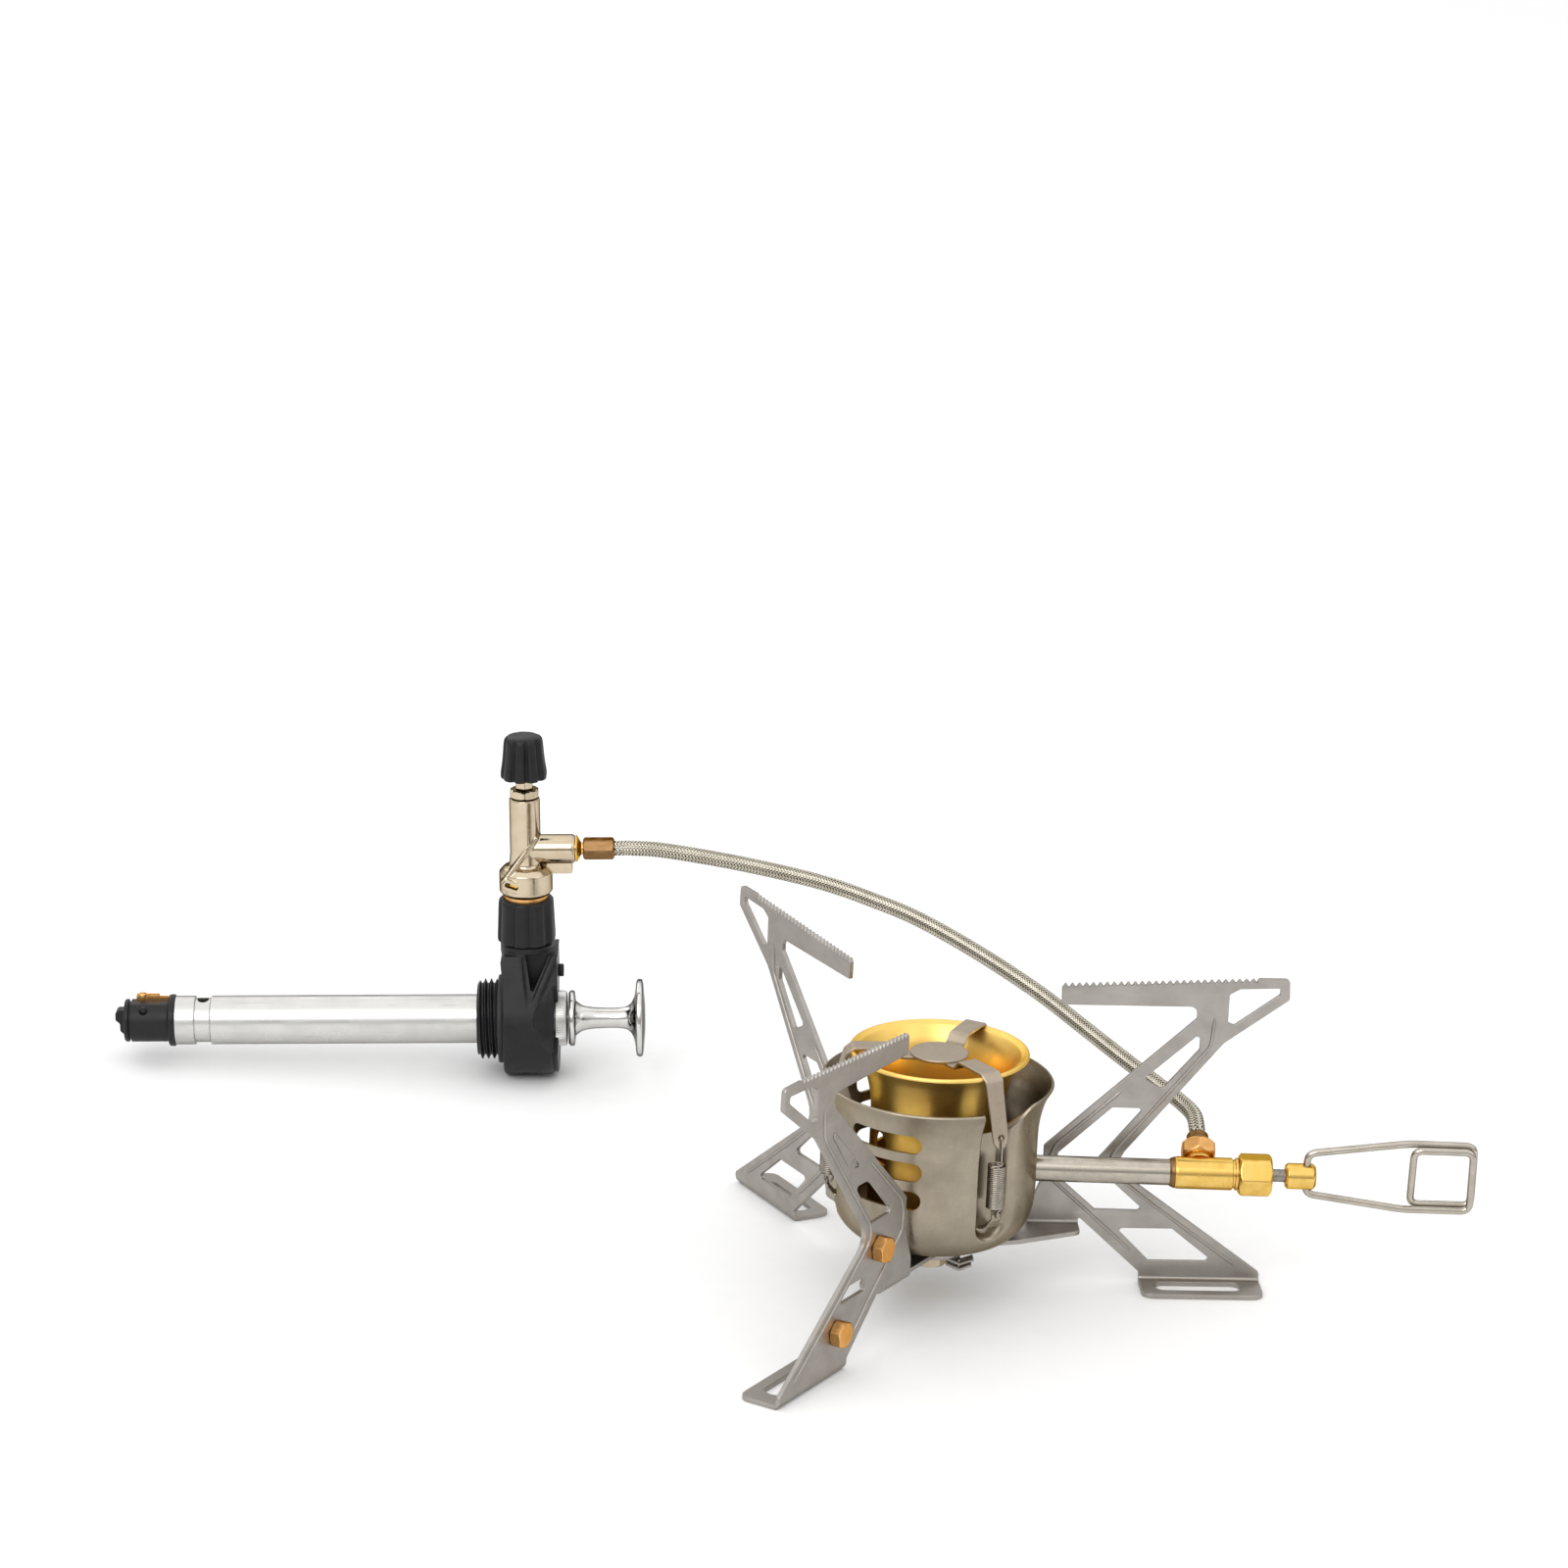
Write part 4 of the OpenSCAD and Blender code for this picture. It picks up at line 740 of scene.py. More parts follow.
def leg_pattern(name):
    """Flat pattern of one leg: its upright, the foot flange and the pivot ring, before folding."""
    low = RINGS[name]
    foot, ring = -RING_OFF + BEND - WRAP, low + BEND - WRAP - RING_OFF
    teeth, start, end = 28, 32.85, 85.2
    top, rise = 84.75, 2.4
    bar_top = []
    for i in range(teeth):
        for k in range(8):
            f = (i + k / 8) / teeth
            bump = 1.25 * (0.5 - 0.5 * math.cos(2 * math.pi * k / 8)) ** 0.9 - 0.25
            bar_top.append((start + (end - start) * f, top + rise * f + (0.9 - 0.15 * f) * bump))
    hub = [(RING_R * math.cos(a), ring + RING_R * math.sin(a))
           for a in np.linspace(math.radians(-73.3), math.radians(-317.5), 40)]
    corners = ([(33.0, 79.8, 0.3)] + bar_top + [(85.2, 86.9, 0), (85.6, 88, 0.3), (94, 88, 1.2), (94.3, 82.2, 1),
               (77.3, 69.6, 4), (49, 34, 5), (91, 3.4, 1.2), (91, foot + FOOT_EDGE, 3), (58, foot + FOOT_EDGE, 3),
               (58, 3.2, 1.5), (41.4, 18.4, 0.8), (40.6, low + 2.8, 0.4), (40.6, ring + 2.6, 0.8),
               (39.4, ring + 1.4, 0.8), (24, ring - 5, 6)] + hub
               + [(26.4, ring + RING_OFF, 1.2), (26.6, 21, 1), (30.3, 30.5, 3), (30.3, 39.4, 1.2), (69.6, 76.4, 0.6),
                  (69.6, 79.8, 2)])
    holes = [eased(w, n=5) for w in WINDOWS[name]]
    holes.append(eased([(62, foot + 0.2, 2.4), (85.4, foot + 0.2, 2.4),
                        (85.4, foot + 5.9, 2.4), (62, foot + 5.9, 2.4)]))
    holes.append(round_hole(0.0, ring, PIVOT_R, 40))
    if name == "leg_front":
        holes += [round_hole(u, v, 2.5) for u, v in JET_HOLES]
    return [eased(corners)] + holes


def leg_folded(name, edge):
    """The pattern as sheet, folded under at its foot and its pivot ring."""
    low = RINGS[name]
    points, faces = sheet(leg_pattern(name), LEG_T, edge)
    mesh = bpy.data.meshes.new("pattern")
    mesh.from_pydata(points.tolist(), [], faces)
    bm = bmesh.new()
    bm.from_mesh(mesh)
    bmesh.ops.remove_doubles(bm, verts=bm.verts, dist=WELD)
    for base in (BEND, low + BEND):
        for i in range(7):
            bmesh.ops.bisect_plane(bm, geom=bm.verts[:] + bm.edges[:] + bm.faces[:], dist=1e-4,
                                   plane_co=(0.0, base - WRAP * i / 6, 0.0), plane_no=(0.0, 1.0, 0.0))
    bm.verts.index_update()
    faces = [tuple(v.index for v in f.verts) for f in bm.faces]
    flat = np.array([v.co for v in bm.verts])
    bm.free()
    bpy.data.meshes.remove(mesh)
    u, v, w = flat.T
    out = np.stack((u, PLATE + w, v), 1)
    for base, zone in ((0.0, u > 50), (low, u < 41)):
        s = base + BEND - v
        on = zone & (s > 0)
        turn, r = np.clip(s / NEUTRAL, 0.0, math.pi / 2), NEUTRAL + w
        y = PLATE - NEUTRAL + r * np.cos(turn) - np.maximum(s - WRAP, 0.0)
        out[on, 1], out[on, 2] = y[on], (base + BEND - r * np.sin(turn))[on]
    return out, faces


def bead(corners, side, height, width=0.95):
    """Low rounded bead along the upright sheet, fading out at both ends."""
    path = eased(corners, closed=False, n=8)
    line, at = stepped(np.column_stack((path, np.zeros(len(path)))), 90)
    t = unit_rows(np.gradient(line[:, :2], axis=0))
    fade = np.clip(np.minimum(at, at[-1] - at) / 2.0, 0.05, 1.0) ** 0.6
    a = np.linspace(0.0, math.pi, 8)
    rings = []
    for p, d, f in zip(line, t, fade):
        cross = np.cos(a) * width / 2 * f
        lift = np.concatenate((np.sin(a) * height * f, [-0.2])) * side
        cross = np.append(cross, 0.0)
        rings.append(np.stack((p[0] - d[1] * cross, PLATE + side * LEG_T / 2 + lift, p[1] + d[0] * cross), 1))
    return loft(rings)


class STOVE_OT_legs(bpy.types.Operator):
    """Folds the three sheet legs, with their teeth, windows, beads and feet"""
    bl_idname = "stove.legs"
    bl_label = "Sheet legs"

    def execute(self, context):
        s = sizes()
        for name, (angle, body) in LEGS.items():
            shapes = [leg_folded(name, s.edge / MM)]
            for side in (1, -1):
                shapes += [bead(b, side, s.bead / MM) for b in (OUTER_BEAD, INNER_BEAD)]
            if name == "leg_front":
                (points, faces), face = sheet([eased(PANEL, n=5)], 0.8, 0.2), PLATE + LEG_T / 2 - 0.1
                shapes.append((np.stack((points[:, 0], face + points[:, 2], points[:, 1]), 1), faces))
            piece("sheet_" + name, joined(*shapes), "leg_sheet", body, STOVE @ turn_z(angle), (name,), sharp=50.0)
        self.jets()
        self.tongues()
        return {"FINISHED"}

    def jets(self):
        shank = lathe([(0, 5.6, 0), (2.1, 5.6, 0.3), (2.42, 6.2, 0.2), (2.42, 9.3, 0), (0, 9.3, 0)], 40)
        jet = joined(hex_body(9.3, 12.5, 6.6, 0.35), shank)
        facing = Matrix.Rotation(-math.pi / 2, 4, "X") @ turn_z(11.0)
        jets = [moved(jet, shift(u, 0.0, v) @ facing) for u, v in JET_HOLES]
        angle, body = LEGS["leg_front"]
        piece("jet_hexes", joined(*jets), "red_brass", body, STOVE @ turn_z(angle), ("spare_jets",), sharp=30.0)

    def tongues(self):
        tongues = []
        for drop in (0.0, 1.5):
            bends = eased([(4.2, 13.3 - drop), (7.6, 11.9 - drop, 0.8), (11.3 - drop / 3, 13.3 - drop)],
                          closed=False, n=5)
            tongues.append(moved(strip(bends, 3.4, 0.8), shift(0.0, -7.8, 0.0)))
        tongues.append(moved(strip([(7.4, 10.6), (7.5, 13.0)], 3.0, 0.8), shift(0.0, -7.4, 0.0)))
        piece("stop_tongues", joined(*tongues), "leg_sheet", "back_leg")


# ---------------------------------------------------------------- burner

def smoothstep(x):
    x = np.clip(x, 0.0, 1.0)
    return x * x * (3.0 - 2.0 * x)


# Outside of the cup: radius and height
CUP_LINE = ((3.3, 17.4), (9, 17.4), (14, 17.4), (18.2, 17.75), (22.2, 19.4), (25.2, 22.6), (26.8, 26.6),
            (27.35, 31), (27.4, 38), (27.35, 45), (27.6, 50.5), (28.4, 55), (29.6, 58.6), (31, 61.2))
CUP_R, CUP_T, CUP_TOP = 27.4, 0.8, 61.2
CHANNEL_TOP, CHANNEL_FOOT = 53.2, 28.2
# Heights from which the cup's wall reaches up to its trimmed top, and from which its line is read by height, with the
# step of the line where that starts
TRIM_FROM, WALL_FROM, WALL_STEP = 46, 31, 40


def cup_shape():
    """Spun cup with three pressed spring channels, as one closed skin."""
    line = curve_through(CUP_LINE, 10)
    offsets = [0, 0.6, 1.2, 1.8, 2.4, 2.9, 3.3, 3.6, 3.9, 4.2, 4.5, 4.8, 5.1, 5.4, 5.8, 6.4, 7.2]
    turns = []
    for c in CHANNELS:
        near = [math.degrees(math.asin(o / CUP_R)) for o in offsets]
        turns += [c + d for d in near] + [c - d for d in near[1:]]
        turns += list(np.linspace(c + near[-1], c + 120 - near[-1], 42)[1:-1])
    rings = []
    for a in sorted(t % 360 for t in turns):
        gap = min(((a - c + 180) % 360 - 180 for c in CHANNELS), key=abs)
        y = CUP_R * math.sin(math.radians(gap))
        # The wall ends in a corner on one side of a channel and sweeps down on the other
        if y < 0:
            top = CHANNEL_TOP + (CUP_TOP - CHANNEL_TOP) * smoothstep((-y - 4.4) / 0.9)
        else:
            top = CHANNEL_TOP + (CUP_TOP - CHANNEL_TOP) * smoothstep((y - 3.6) / 6.4) ** 0.8
        z = line[:, 1]
        z = np.where(z > TRIM_FROM, TRIM_FROM + (z - TRIM_FROM) * (top - TRIM_FROM) / (CUP_TOP - TRIM_FROM), z)
        r = np.where(z > WALL_FROM, np.interp(z, line[WALL_STEP:, 1], line[WALL_STEP:, 0]), line[:, 0])
        flat = np.stack((r, z), 1)
        t = unit_rows(np.gradient(flat, axis=0))
        inner = flat + CUP_T * np.stack((-t[:, 1], t[:, 0]), 1)
        inner[0, 0] = flat[0, 0]
        for side, floor, edge in ((flat, 23.4, 5.0), (inner, 22.6, 5.7)):
            below = np.maximum(CHANNEL_FOOT - side[:, 1], 0.0)
            fold = 1.3 + (2.1 * smoothstep(y / 5.0) if y > 0 else 0.0) + 2.2 * np.minimum(below / 5.0, 1.0)
            press = smoothstep((edge - np.hypot(y * (0.7 if y > 0 else 1.0), below)) / fold)
            side[:, 0] += (np.minimum(floor / math.cos(math.radians(gap)), side[:, 0]) - side[:, 0]) * press
        lip = [(flat[-1] * 0.75 + inner[-1] * 0.25) + (0.0, 0.16), (flat[-1] + inner[-1]) / 2 + (0.0, 0.22),
               (flat[-1] * 0.25 + inner[-1] * 0.75) + (0.0, 0.16)]
        outline = np.concatenate((flat, lip, inner[::-1]))
        ca, sa = math.cos(math.radians(a)), math.sin(math.radians(a))
        rings.append(np.stack((outline[:, 0] * ca, outline[:, 0] * sa, outline[:, 1]), 1))
    return loft(rings, loop=True)


def slot_cutters():
    w, h = CUP_R * math.sin(math.radians(22.5)), 2.6
    outline = eased([(-w, -h, 2.5), (w, -h, 2.5), (w, h, 2.5), (-w, h, 2.5)], n=8)
    return [moved(prism(outline + (0.0, z), 19.0, 34.0, "X"), turn_z(a))
            for a in (118, 238) for z in (36.4, 44.3, 52.2)]


def bell_shape():
    up = curve_through([(17.6, 24.0), (17.6, 40), (17.62, 52), (18.0, 56.6), (18.9, 61.0), (20.3, 64.7),
                        (22.0, 67.4), (22.75, 68.35)], 5)
    t = unit_rows(np.gradient(up, axis=0))
    inside = (up + 0.9 * np.stack((-t[:, 1], t[:, 0]), 1))[::-1]
    roll = [(23.4 + 0.68 * math.cos(a), 68.9 + 0.68 * math.sin(a)) for a in np.linspace(-2.2, 2.7, 14)]
    foot = [(3.4, 18.25), (14.6, 18.25), (15.9, 18.9), (16.9, 20.4), (17.4, 22.2)]
    floor = [(16.5, 22.4), (16.1, 20.9), (15.2, 19.8), (14.4, 19.2), (3.4, 19.2)]
    return turned(foot + list(up) + roll + list(inside[1:]) + floor, 144, ring=True)


def bell_cutters():
    arch = [(-2.8, 40.0)] + [(-2.8 * math.cos(a), 46.0 + 2.8 * math.sin(a)) for a in np.linspace(0, math.pi, 13)]
    arch.append((2.8, 40.0))
    cutters = [moved(prism(arch, 13.0, 21.0, "X"), turn_z(a)) for a in range(30, 360, 60)]
    return cutters + [moved(bar(3.8, 12.0, 24.0, "X", 48), shift(0.0, 0.0, TUBE_Z))]


def spreader_arms():
    """Three strips that rise from under the disc, cross the bell's rim and end in hooks."""
    bends = eased([(5.6, 67.75), (10.4, 67.8, 1.4), (12.4, 70.05, 1.4), (23.0, 70.05, 1.2), (25.0, 68.5, 0.9),
                   (29.0, 53.8, 3.0), (29.15, 51.0)], closed=False, n=7)
    path, at = stepped(np.column_stack((bends, np.zeros(len(bends)))), 120)
    f = at / at[-1]
    widths = np.interp(f, (0, 0.2, 0.36, 0.48, 0.58, 0.9, 0.95, 0.98, 1),
                       (5.6, 5.4, 5.7, 5.9, 5.2, 4.8, 4.3, 3.0, 1.3))
    arm = strip(path[:, :2], widths, 0.9)
    return joined(*[moved(arm, turn_z(c)) for c in CHANNELS])


def spring_shape(curls, wire):
    """Close-wound tension spring with a hook at each end, about its own axis."""
    low, high, r = 34.2, 46.4, 2.25
    hook = [(1.25 * math.sin(a), 0.0, 32.6 - 1.25 * math.cos(a)) for a in np.linspace(-2.4, 2.2, 12)]
    coil = [(r * math.cos(a), r * math.sin(a), low + (high - low) * a / (2 * math.pi * curls))
            for a in np.linspace(0.0, 2 * math.pi * curls, 16 * curls + 1)]
    tail = [(x, 0.0, z) for x, z in ((1.9, 47.6), (1.78, 50.0), (1.76, 53.0), (1.3, 54.3), (0.6, 54.4), (0.1, 53.6),
                                     (0.1, 52.4))]
    path = curve_through(hook + [(1.7, 0.1, 33.8)] + coil[3:-3] + [(2.05, -0.1, 46.7)] + tail, 2)
    return swept(path, wire, 7)


class STOVE_OT_burner(bpy.types.Operator):
    """Spins the cup and the bell, and hangs the flame spreader on its springs"""
    bl_idname = "stove.burner"
    bl_label = "Burner"

    def execute(self, context):
        s = sizes()
        tube_hole = moved(bar(3.8, 20.0, 34.0, "X", 48), shift(0.0, 0.0, TUBE_Z))
        piece("pressed_cup", cup_shape(), "cup_steel", stands_for=(
            "burner_cup", "cup_wall_right", "cup_wall_back", "cup_wall_front"),
            cuts=slot_cutters() + [tube_hole])
        tab = eased([(23.0, 27.2), (26.6, 28.3, 1.2), (28.7, 31.0, 0.9), (28.5, 32.5)], closed=False, n=6)
        tabs = strip(tab, np.interp(np.arange(len(tab)), (0, len(tab) - 1), (4.6, 2.6)), 0.7)
        piece("spring_tabs", joined(*[moved(tabs, turn_z(c)) for c in CHANNELS]), "cup_steel")
        piece("spun_bell", bell_shape(), "bell_brass", stands_for=("burner_bell",), cuts=bell_cutters())
        holes = [moved(bar(1.0, 25.0, 34.0, "X", 28), turn_z(c) @ shift(0.0, 0.0, 54.2)) for c in CHANNELS]
        disc = lathe([(0, 67.98, 0), (7.8, 67.98, 0.2), (7.8, 68.85, 0.3), (0, 68.85, 0)], 96)
        piece("spreader_disc", disc, "spreader_steel", stands_for=("flame_spreader",))
        piece("spreader_arms", spreader_arms(), "spreader_steel", cuts=holes)
        coils = [moved(spring_shape(s.spring_curls, s.spring_wire / MM), turn_z(c) @ shift(28.2, 0.0, 0.0))
                 for c in CHANNELS]
        piece("wound_springs", joined(*coils), "spring_steel", stands_for=("spreader_springs",), weld=0.0,
              sharp=80.0, even=False)
        return {"FINISHED"}


# ---------------------------------------------------------------- feed line

class STOVE_OT_feed_line(bpy.types.Operator):
    """Turns the brass inlet block, its nuts, the spindle knob and the wire handle"""
    bl_idname = "stove.feed_line"
    bl_label = "Feed line"

    def execute(self, context):
        line = STOVE @ shift(0.0, 0.0, TUBE_Z * MM)
        block = lathe([(2.6, 63.7, 0), (3.75, 63.7, 0.15), (4.35, 65.1, 0.4), (4.35, 79.9, 0.15), (3.85, 80.1, 0.1),
                       (3.85, 80.6, 0.1), (4.35, 80.8, 0.15), (4.35, 81.4, 0.15), (3.5, 81.5, 0), (3.5, 86.0, 0),
                       (1.8, 86.0, 0), (1.8, 76.0, 0), (2.6, 74.0, 0)], 96, "X", ring=True)
        braze = lathe([(3.45, 63.1, 0), (3.6, 63.1, 0.05), (3.9, 63.6, 0.2), (4.2, 64.4, 0.15), (4.1, 64.8, 0.1),
                       (3.45, 64.8, 0)], 72, "X", ring=True)
        piece("braze_ring", braze, "ferrule_bronze", at=line)
        seat = knurled((3.4, 3.9, 4.75, 4.8), (3.5, 3.5, 3.4, 3.1), (0.0, 0.0, 0.09, 0.04), 26)
        seat = moved(seat, shift(INLET_X, 0.0, 0.0) @ INLET_TILT)
        piece("inlet_brass", joined(block, seat), "bright_brass", at=line, stands_for=("inlet_block",))
        piece("gland_hex", moved(hex_body(81.65, 90.5, 10.2, 0.75, 1.8), ALONG_X), "bright_brass", at=line,
              stands_for=("gland_nut",), sharp=30.0)
        knob = lathe([(0, 94.3, 0), (2.9, 94.3, 0.2), (3.5, 94.9, 0.3), (3.5, 101.6, 0.5), (2.7, 102.45, 0.5),
                      (0, 102.5, 0)], 72, "X", steps=5)
        hole = [moved(bar(1.08, -6.0, 6.0, "Z", 36), shift(100.0, 0.0, 0.0))]
        piece("knob_brass", knob, "bright_brass", "regulator", line, ("spindle_knob",), cuts=hole)
        piece("hose_hex", hex_body(4.8, 9.4, 8.8, 0.9, 1.6), "red_brass", at=INLET, stands_for=("hose_nut",),
              sharp=30.0)
        ferrule = lathe([(1.6, 9.3, 0), (3.2, 9.3, 0.1), (3.25, 10.8, 0.4), (2.95, 11.1, 0.2), (2.95, 12.3, 0.3),
                         (2.5, 12.8, 0.2), (1.6, 12.8, 0)], 64, ring=True)
        piece("stove_ferrule", ferrule, "ferrule_bronze", at=INLET, stands_for=("hose_ferrule_stove",))
        self.handle(sizes().wire_r / MM, line)
        return {"FINISHED"}

    def handle(self, r, line):
        """One wire, bent into a loop and a second, smaller loop that lies against it."""
        far, near, lay, reach = 144.8, 128.4, r + 0.06, 2.5
        corners = [(100, 0, 1.2), (100, 0, 6.6), (127.2, lay * 0.9, 9.9), (far, lay, 9.7), (far, lay, -7.2),
                   (near, lay * 0.9, -7.2), (near, -lay * 0.9, 8.7), (far - 0.5, -lay, 8.7), (far - 0.5, -lay, -8.1),
                   (126.2, -lay, -8.1), (100, 0, -4.9), (100, 0, -1.2)]
        p = np.array(corners, float)
        path = [p[0]]
        for a, b, c in zip(p, p[1:], p[2:]):
            u, v = (b + (e - b) / np.linalg.norm(e - b) * reach for e in (a, c))
            path += [(1 - t) ** 2 * u + 2 * t * (1 - t) * b + t * t * v for t in np.linspace(0.0, 1.0, 9)]
        piece("bent_wire", swept(np.array(path + [p[-1]]), r, 16), "drawn_steel", "handle", line,
              ("wire_handle",), weld=0.0, sharp=80.0, even=False)


# ---------------------------------------------------------------- fuel valve

FLUTES = 9


def fluted(levels, radii, depths, n=216):
    """Grip with broad lobes and narrow creases: depth of the creases given at each level."""
    def radius(a, i):
        return radii[i] - depths[i] * (0.5 + 0.5 * np.cos(FLUTES * a)) ** 3
    return loft(polar(levels, n, radius))


def half_across(a, b, width):
    """Half the width of a bar, square to the line between its two ends."""
    d = (b - a) / np.linalg.norm(b - a)
    return np.array((-d[1], d[0])) * width / 2


def leaning_bar(a, b, y0, y1, width, soft):
    """Bar with rounded ends between two points of the X-Z plane."""
    a, b = np.array(a, float), np.array(b, float)
    s = half_across(a, b, width)
    ends = [(*(a + s), soft), (*(a - s), soft), (*(b - s), soft), (*(b + s), soft)]
    return prism(eased(ends), y0, y1, "Y")


def slanted_fin(a, b, front_a, front_b, width):
    """Thin fin between two points of the X-Z plane, whose front edge runs back along its length."""
    a, b = np.array(a, float), np.array(b, float)
    s = half_across(a, b, width)
    rings = []
    for c, front in ((a, front_a), (b, front_b)):
        section = ((1, 0.0), (1, front + 0.4), (0.5, front), (-0.5, front), (-1, front + 0.4), (-1, 0.0))
        rings.append([(c[0] + k * s[0], y, c[1] + k * s[1]) for k, y in section])
    return loft(rings)


class STOVE_OT_valve(bpy.types.Operator):
    """Casts the valve block and moulds its knob and coupling nut"""
    bl_idname = "stove.valve"
    bl_label = "Fuel valve"

    def execute(self, context):
        foot = lathe([(0, 33.2, 0), (5.4, 33.2, 0), (5.4, 39.5, 0), (7.1, 39.6, 0.2), (7.9, 40.6, 0.5),
                      (7.9, 46.4, 0.6), (6.6, 47.9, 1.0), (4.9, 48.3, 1.2), (4.55, 52, 3), (4.55, 69.0, 0.4),
                      (0, 69.2, 0)], 64)
        branch = moved(lathe([(0, 0, 0), (4.3, 0, 0), (4.3, 13.9, 0.3), (3.9, 14.7, 0.3), (0, 14.7, 0)], 64, "X"),
                       shift(0.0, 0.0, BRANCH_Z))
        web = prism(eased([(6.2, 45.9, 0.4), (13.9, 45.9, 0.6), (13.9, 51, 0), (6.2, 51, 0)]), -1.6, 1.6, "Y")
        fin = slanted_fin((-6.6, 44.4), (3.6, 57.6), -7.3, -3.7, 1.5)
        lug = leaning_bar((-6.4, 44.6), (-1.6, 43.0), -7.7, -3.0, 3.4, 1.2)
        slot = leaning_bar((-5.9, 44.6), (-2.0, 43.2), -9.0, -5.0, 1.5, 0.7)
        piece("valve_casting", joined(foot, branch, web, fin, lug), "champagne_nickel", at=PUMP,
              stands_for=("valve_block",), voxel=0.17, cuts=[slot], sharp=60.0)
        piece("slot_brass", leaning_bar((-4.4, 44.05), (-2.2, 43.3), -6.4, -4.8, 1.2, 0.55), "bright_brass", at=PUMP)
        piece("valve_hex", hex_body(69.3, 71.9, 8.2, 0.5, 1.9), "champagne_nickel", at=PUMP,
              stands_for=("valve_gland_nut",), sharp=30.0)
        z = [75.1, 75.25, 75.6, 76.2, 77.2, 78.2, 79.4, 81, 83, 85, 86.4, 87.2, 87.75, 88.1, 88.28, 88.3]
        r = [6.3, 6.65, 6.85, 6.9, 6.85, 6.7, 6.5, 6.3, 6.1, 5.95, 5.8, 5.55, 5.1, 4.3, 3.0, 0.02]
        d = [1.1, 1.2, 1.25, 1.25, 1.2, 1.15, 1.1, 1.05, 1.0, 0.95, 0.85, 0.6, 0.3, 0.1, 0.0, 0.0]
        piece("dial_grip", fluted(z, r, d), "black_plastic", "fuel_knob", PUMP, ("control_knob",), sharp=32.0)
        piece("dial_stem", hex_body(72.1, 75.6, 4.9, 0.25), "champagne_nickel", "fuel_knob", PUMP, sharp=30.0)
        z = [24.6, 24.75, 25.1, 25.8, 27, 30, 33, 36, 37.2, 37.7, 38.0, 38.2]
        r = [8.1, 8.4, 8.62, 8.7, 8.68, 8.55, 8.42, 8.3, 8.2, 8.0, 7.7, 7.3]
        d = [0.7, 0.85, 0.95, 1.0, 1.0, 1.0, 1.0, 0.95, 0.75, 0.45, 0.2, 0.0]
        piece("coupling_grip", fluted(z, r, d), "black_plastic", "coupling", PUMP, ("coupling_nut",),
              sharp=32.0, cuts=[bar(5.56, 33.0, 40.0), bar(4.5, 24.0, 33.0)])
        band = lathe([(5.6, 38.1, 0), (6.5, 38.1, 0.1), (6.5, 39.35, 0.2), (5.6, 39.4, 0.1)], 72, ring=True)
        piece("coupling_band", band, "red_brass", "coupling", PUMP)
        self.adapter()
        return {"FINISHED"}

    def adapter(self):
        at = PUMP @ shift(0.0, 0.0, BRANCH_Z * MM)
        cone = lathe([(1.0, 11.0, 0), (2.55, 11.0, 0), (2.55, 14.8, 0), (4.0, 14.85, 0.1), (3.9, 15.3, 0.2),
                      (2.3, 16.3, 0.3), (1.8, 16.5, 0.2), (1.8, 17.2, 0), (1.0, 17.2, 0)], 64, "X", ring=True)
        piece("adapter_cone", cone, "bright_brass", at=at, stands_for=("hose_adapter",))
        hexed = moved(hex_body(17.1, 26.3, 6.0, 0.5, 1.0), ALONG_X)
        piece("pump_ferrule", hexed, "ferrule_bronze", at=at, stands_for=("hose_ferrule_pump",), sharp=30.0)


# ---------------------------------------------------------------- pump

def thread_shape(x0, x1, crest, root, pitch, n=128):
    """Round-bottomed thread about X, faded at both ends."""
    levels = np.linspace(x0, x1, int((x1 - x0) / pitch * 24) + 1)
    bore = 7.4

    def radius(a, i):
        x = levels[i]
        phase = (x / pitch - a / (2 * math.pi)) % 1.0
        ridge = np.clip(1.6 * (1.0 - 2.0 * np.abs(phase - 0.5)) - 0.4, 0.0, 1.0)
        fade = min(1.0, (x - x0) / 1.0, (x1 - x) / 0.6)
        return root + (crest - root) * ridge * fade
    return loft(polar(levels, n, radius, "X") + polar((x1, x0), n, lambda a, i: bore, "X"), loop=True)


def scoop_shape(side):
    """Cutter for the crescent-shaped thumb scoop, which lays the collar bare on one side."""
    start, run, end = 1.9, 6.0, 10.0
    outside, brim, deepest = 23.0, 16.5, 8.2
    middle, reach = math.radians(14.5), math.radians(37.5)
    spread = np.linspace(-1.0, 1.0, 29)
    rings = []
    for f in list(np.linspace(0.02, 1.0, 20)) + [1.01, 2.0]:
        deep = np.full_like(spread, deepest)
        if f <= 1.0:
            deep = brim - (brim - deepest) * f ** 0.62 * np.sqrt(1.0 - spread ** 4)
        x = start + run * f if f <= 1.01 else end
        turn = middle + reach * math.sqrt(min(f, 1.0)) * spread
        arc = [(outside, t) for t in turn] + list(zip(deep, turn))[::-1]
        rings.append([(x, side * r * math.cos(t), r * math.sin(t)) for r, t in arc])
    return loft(rings)


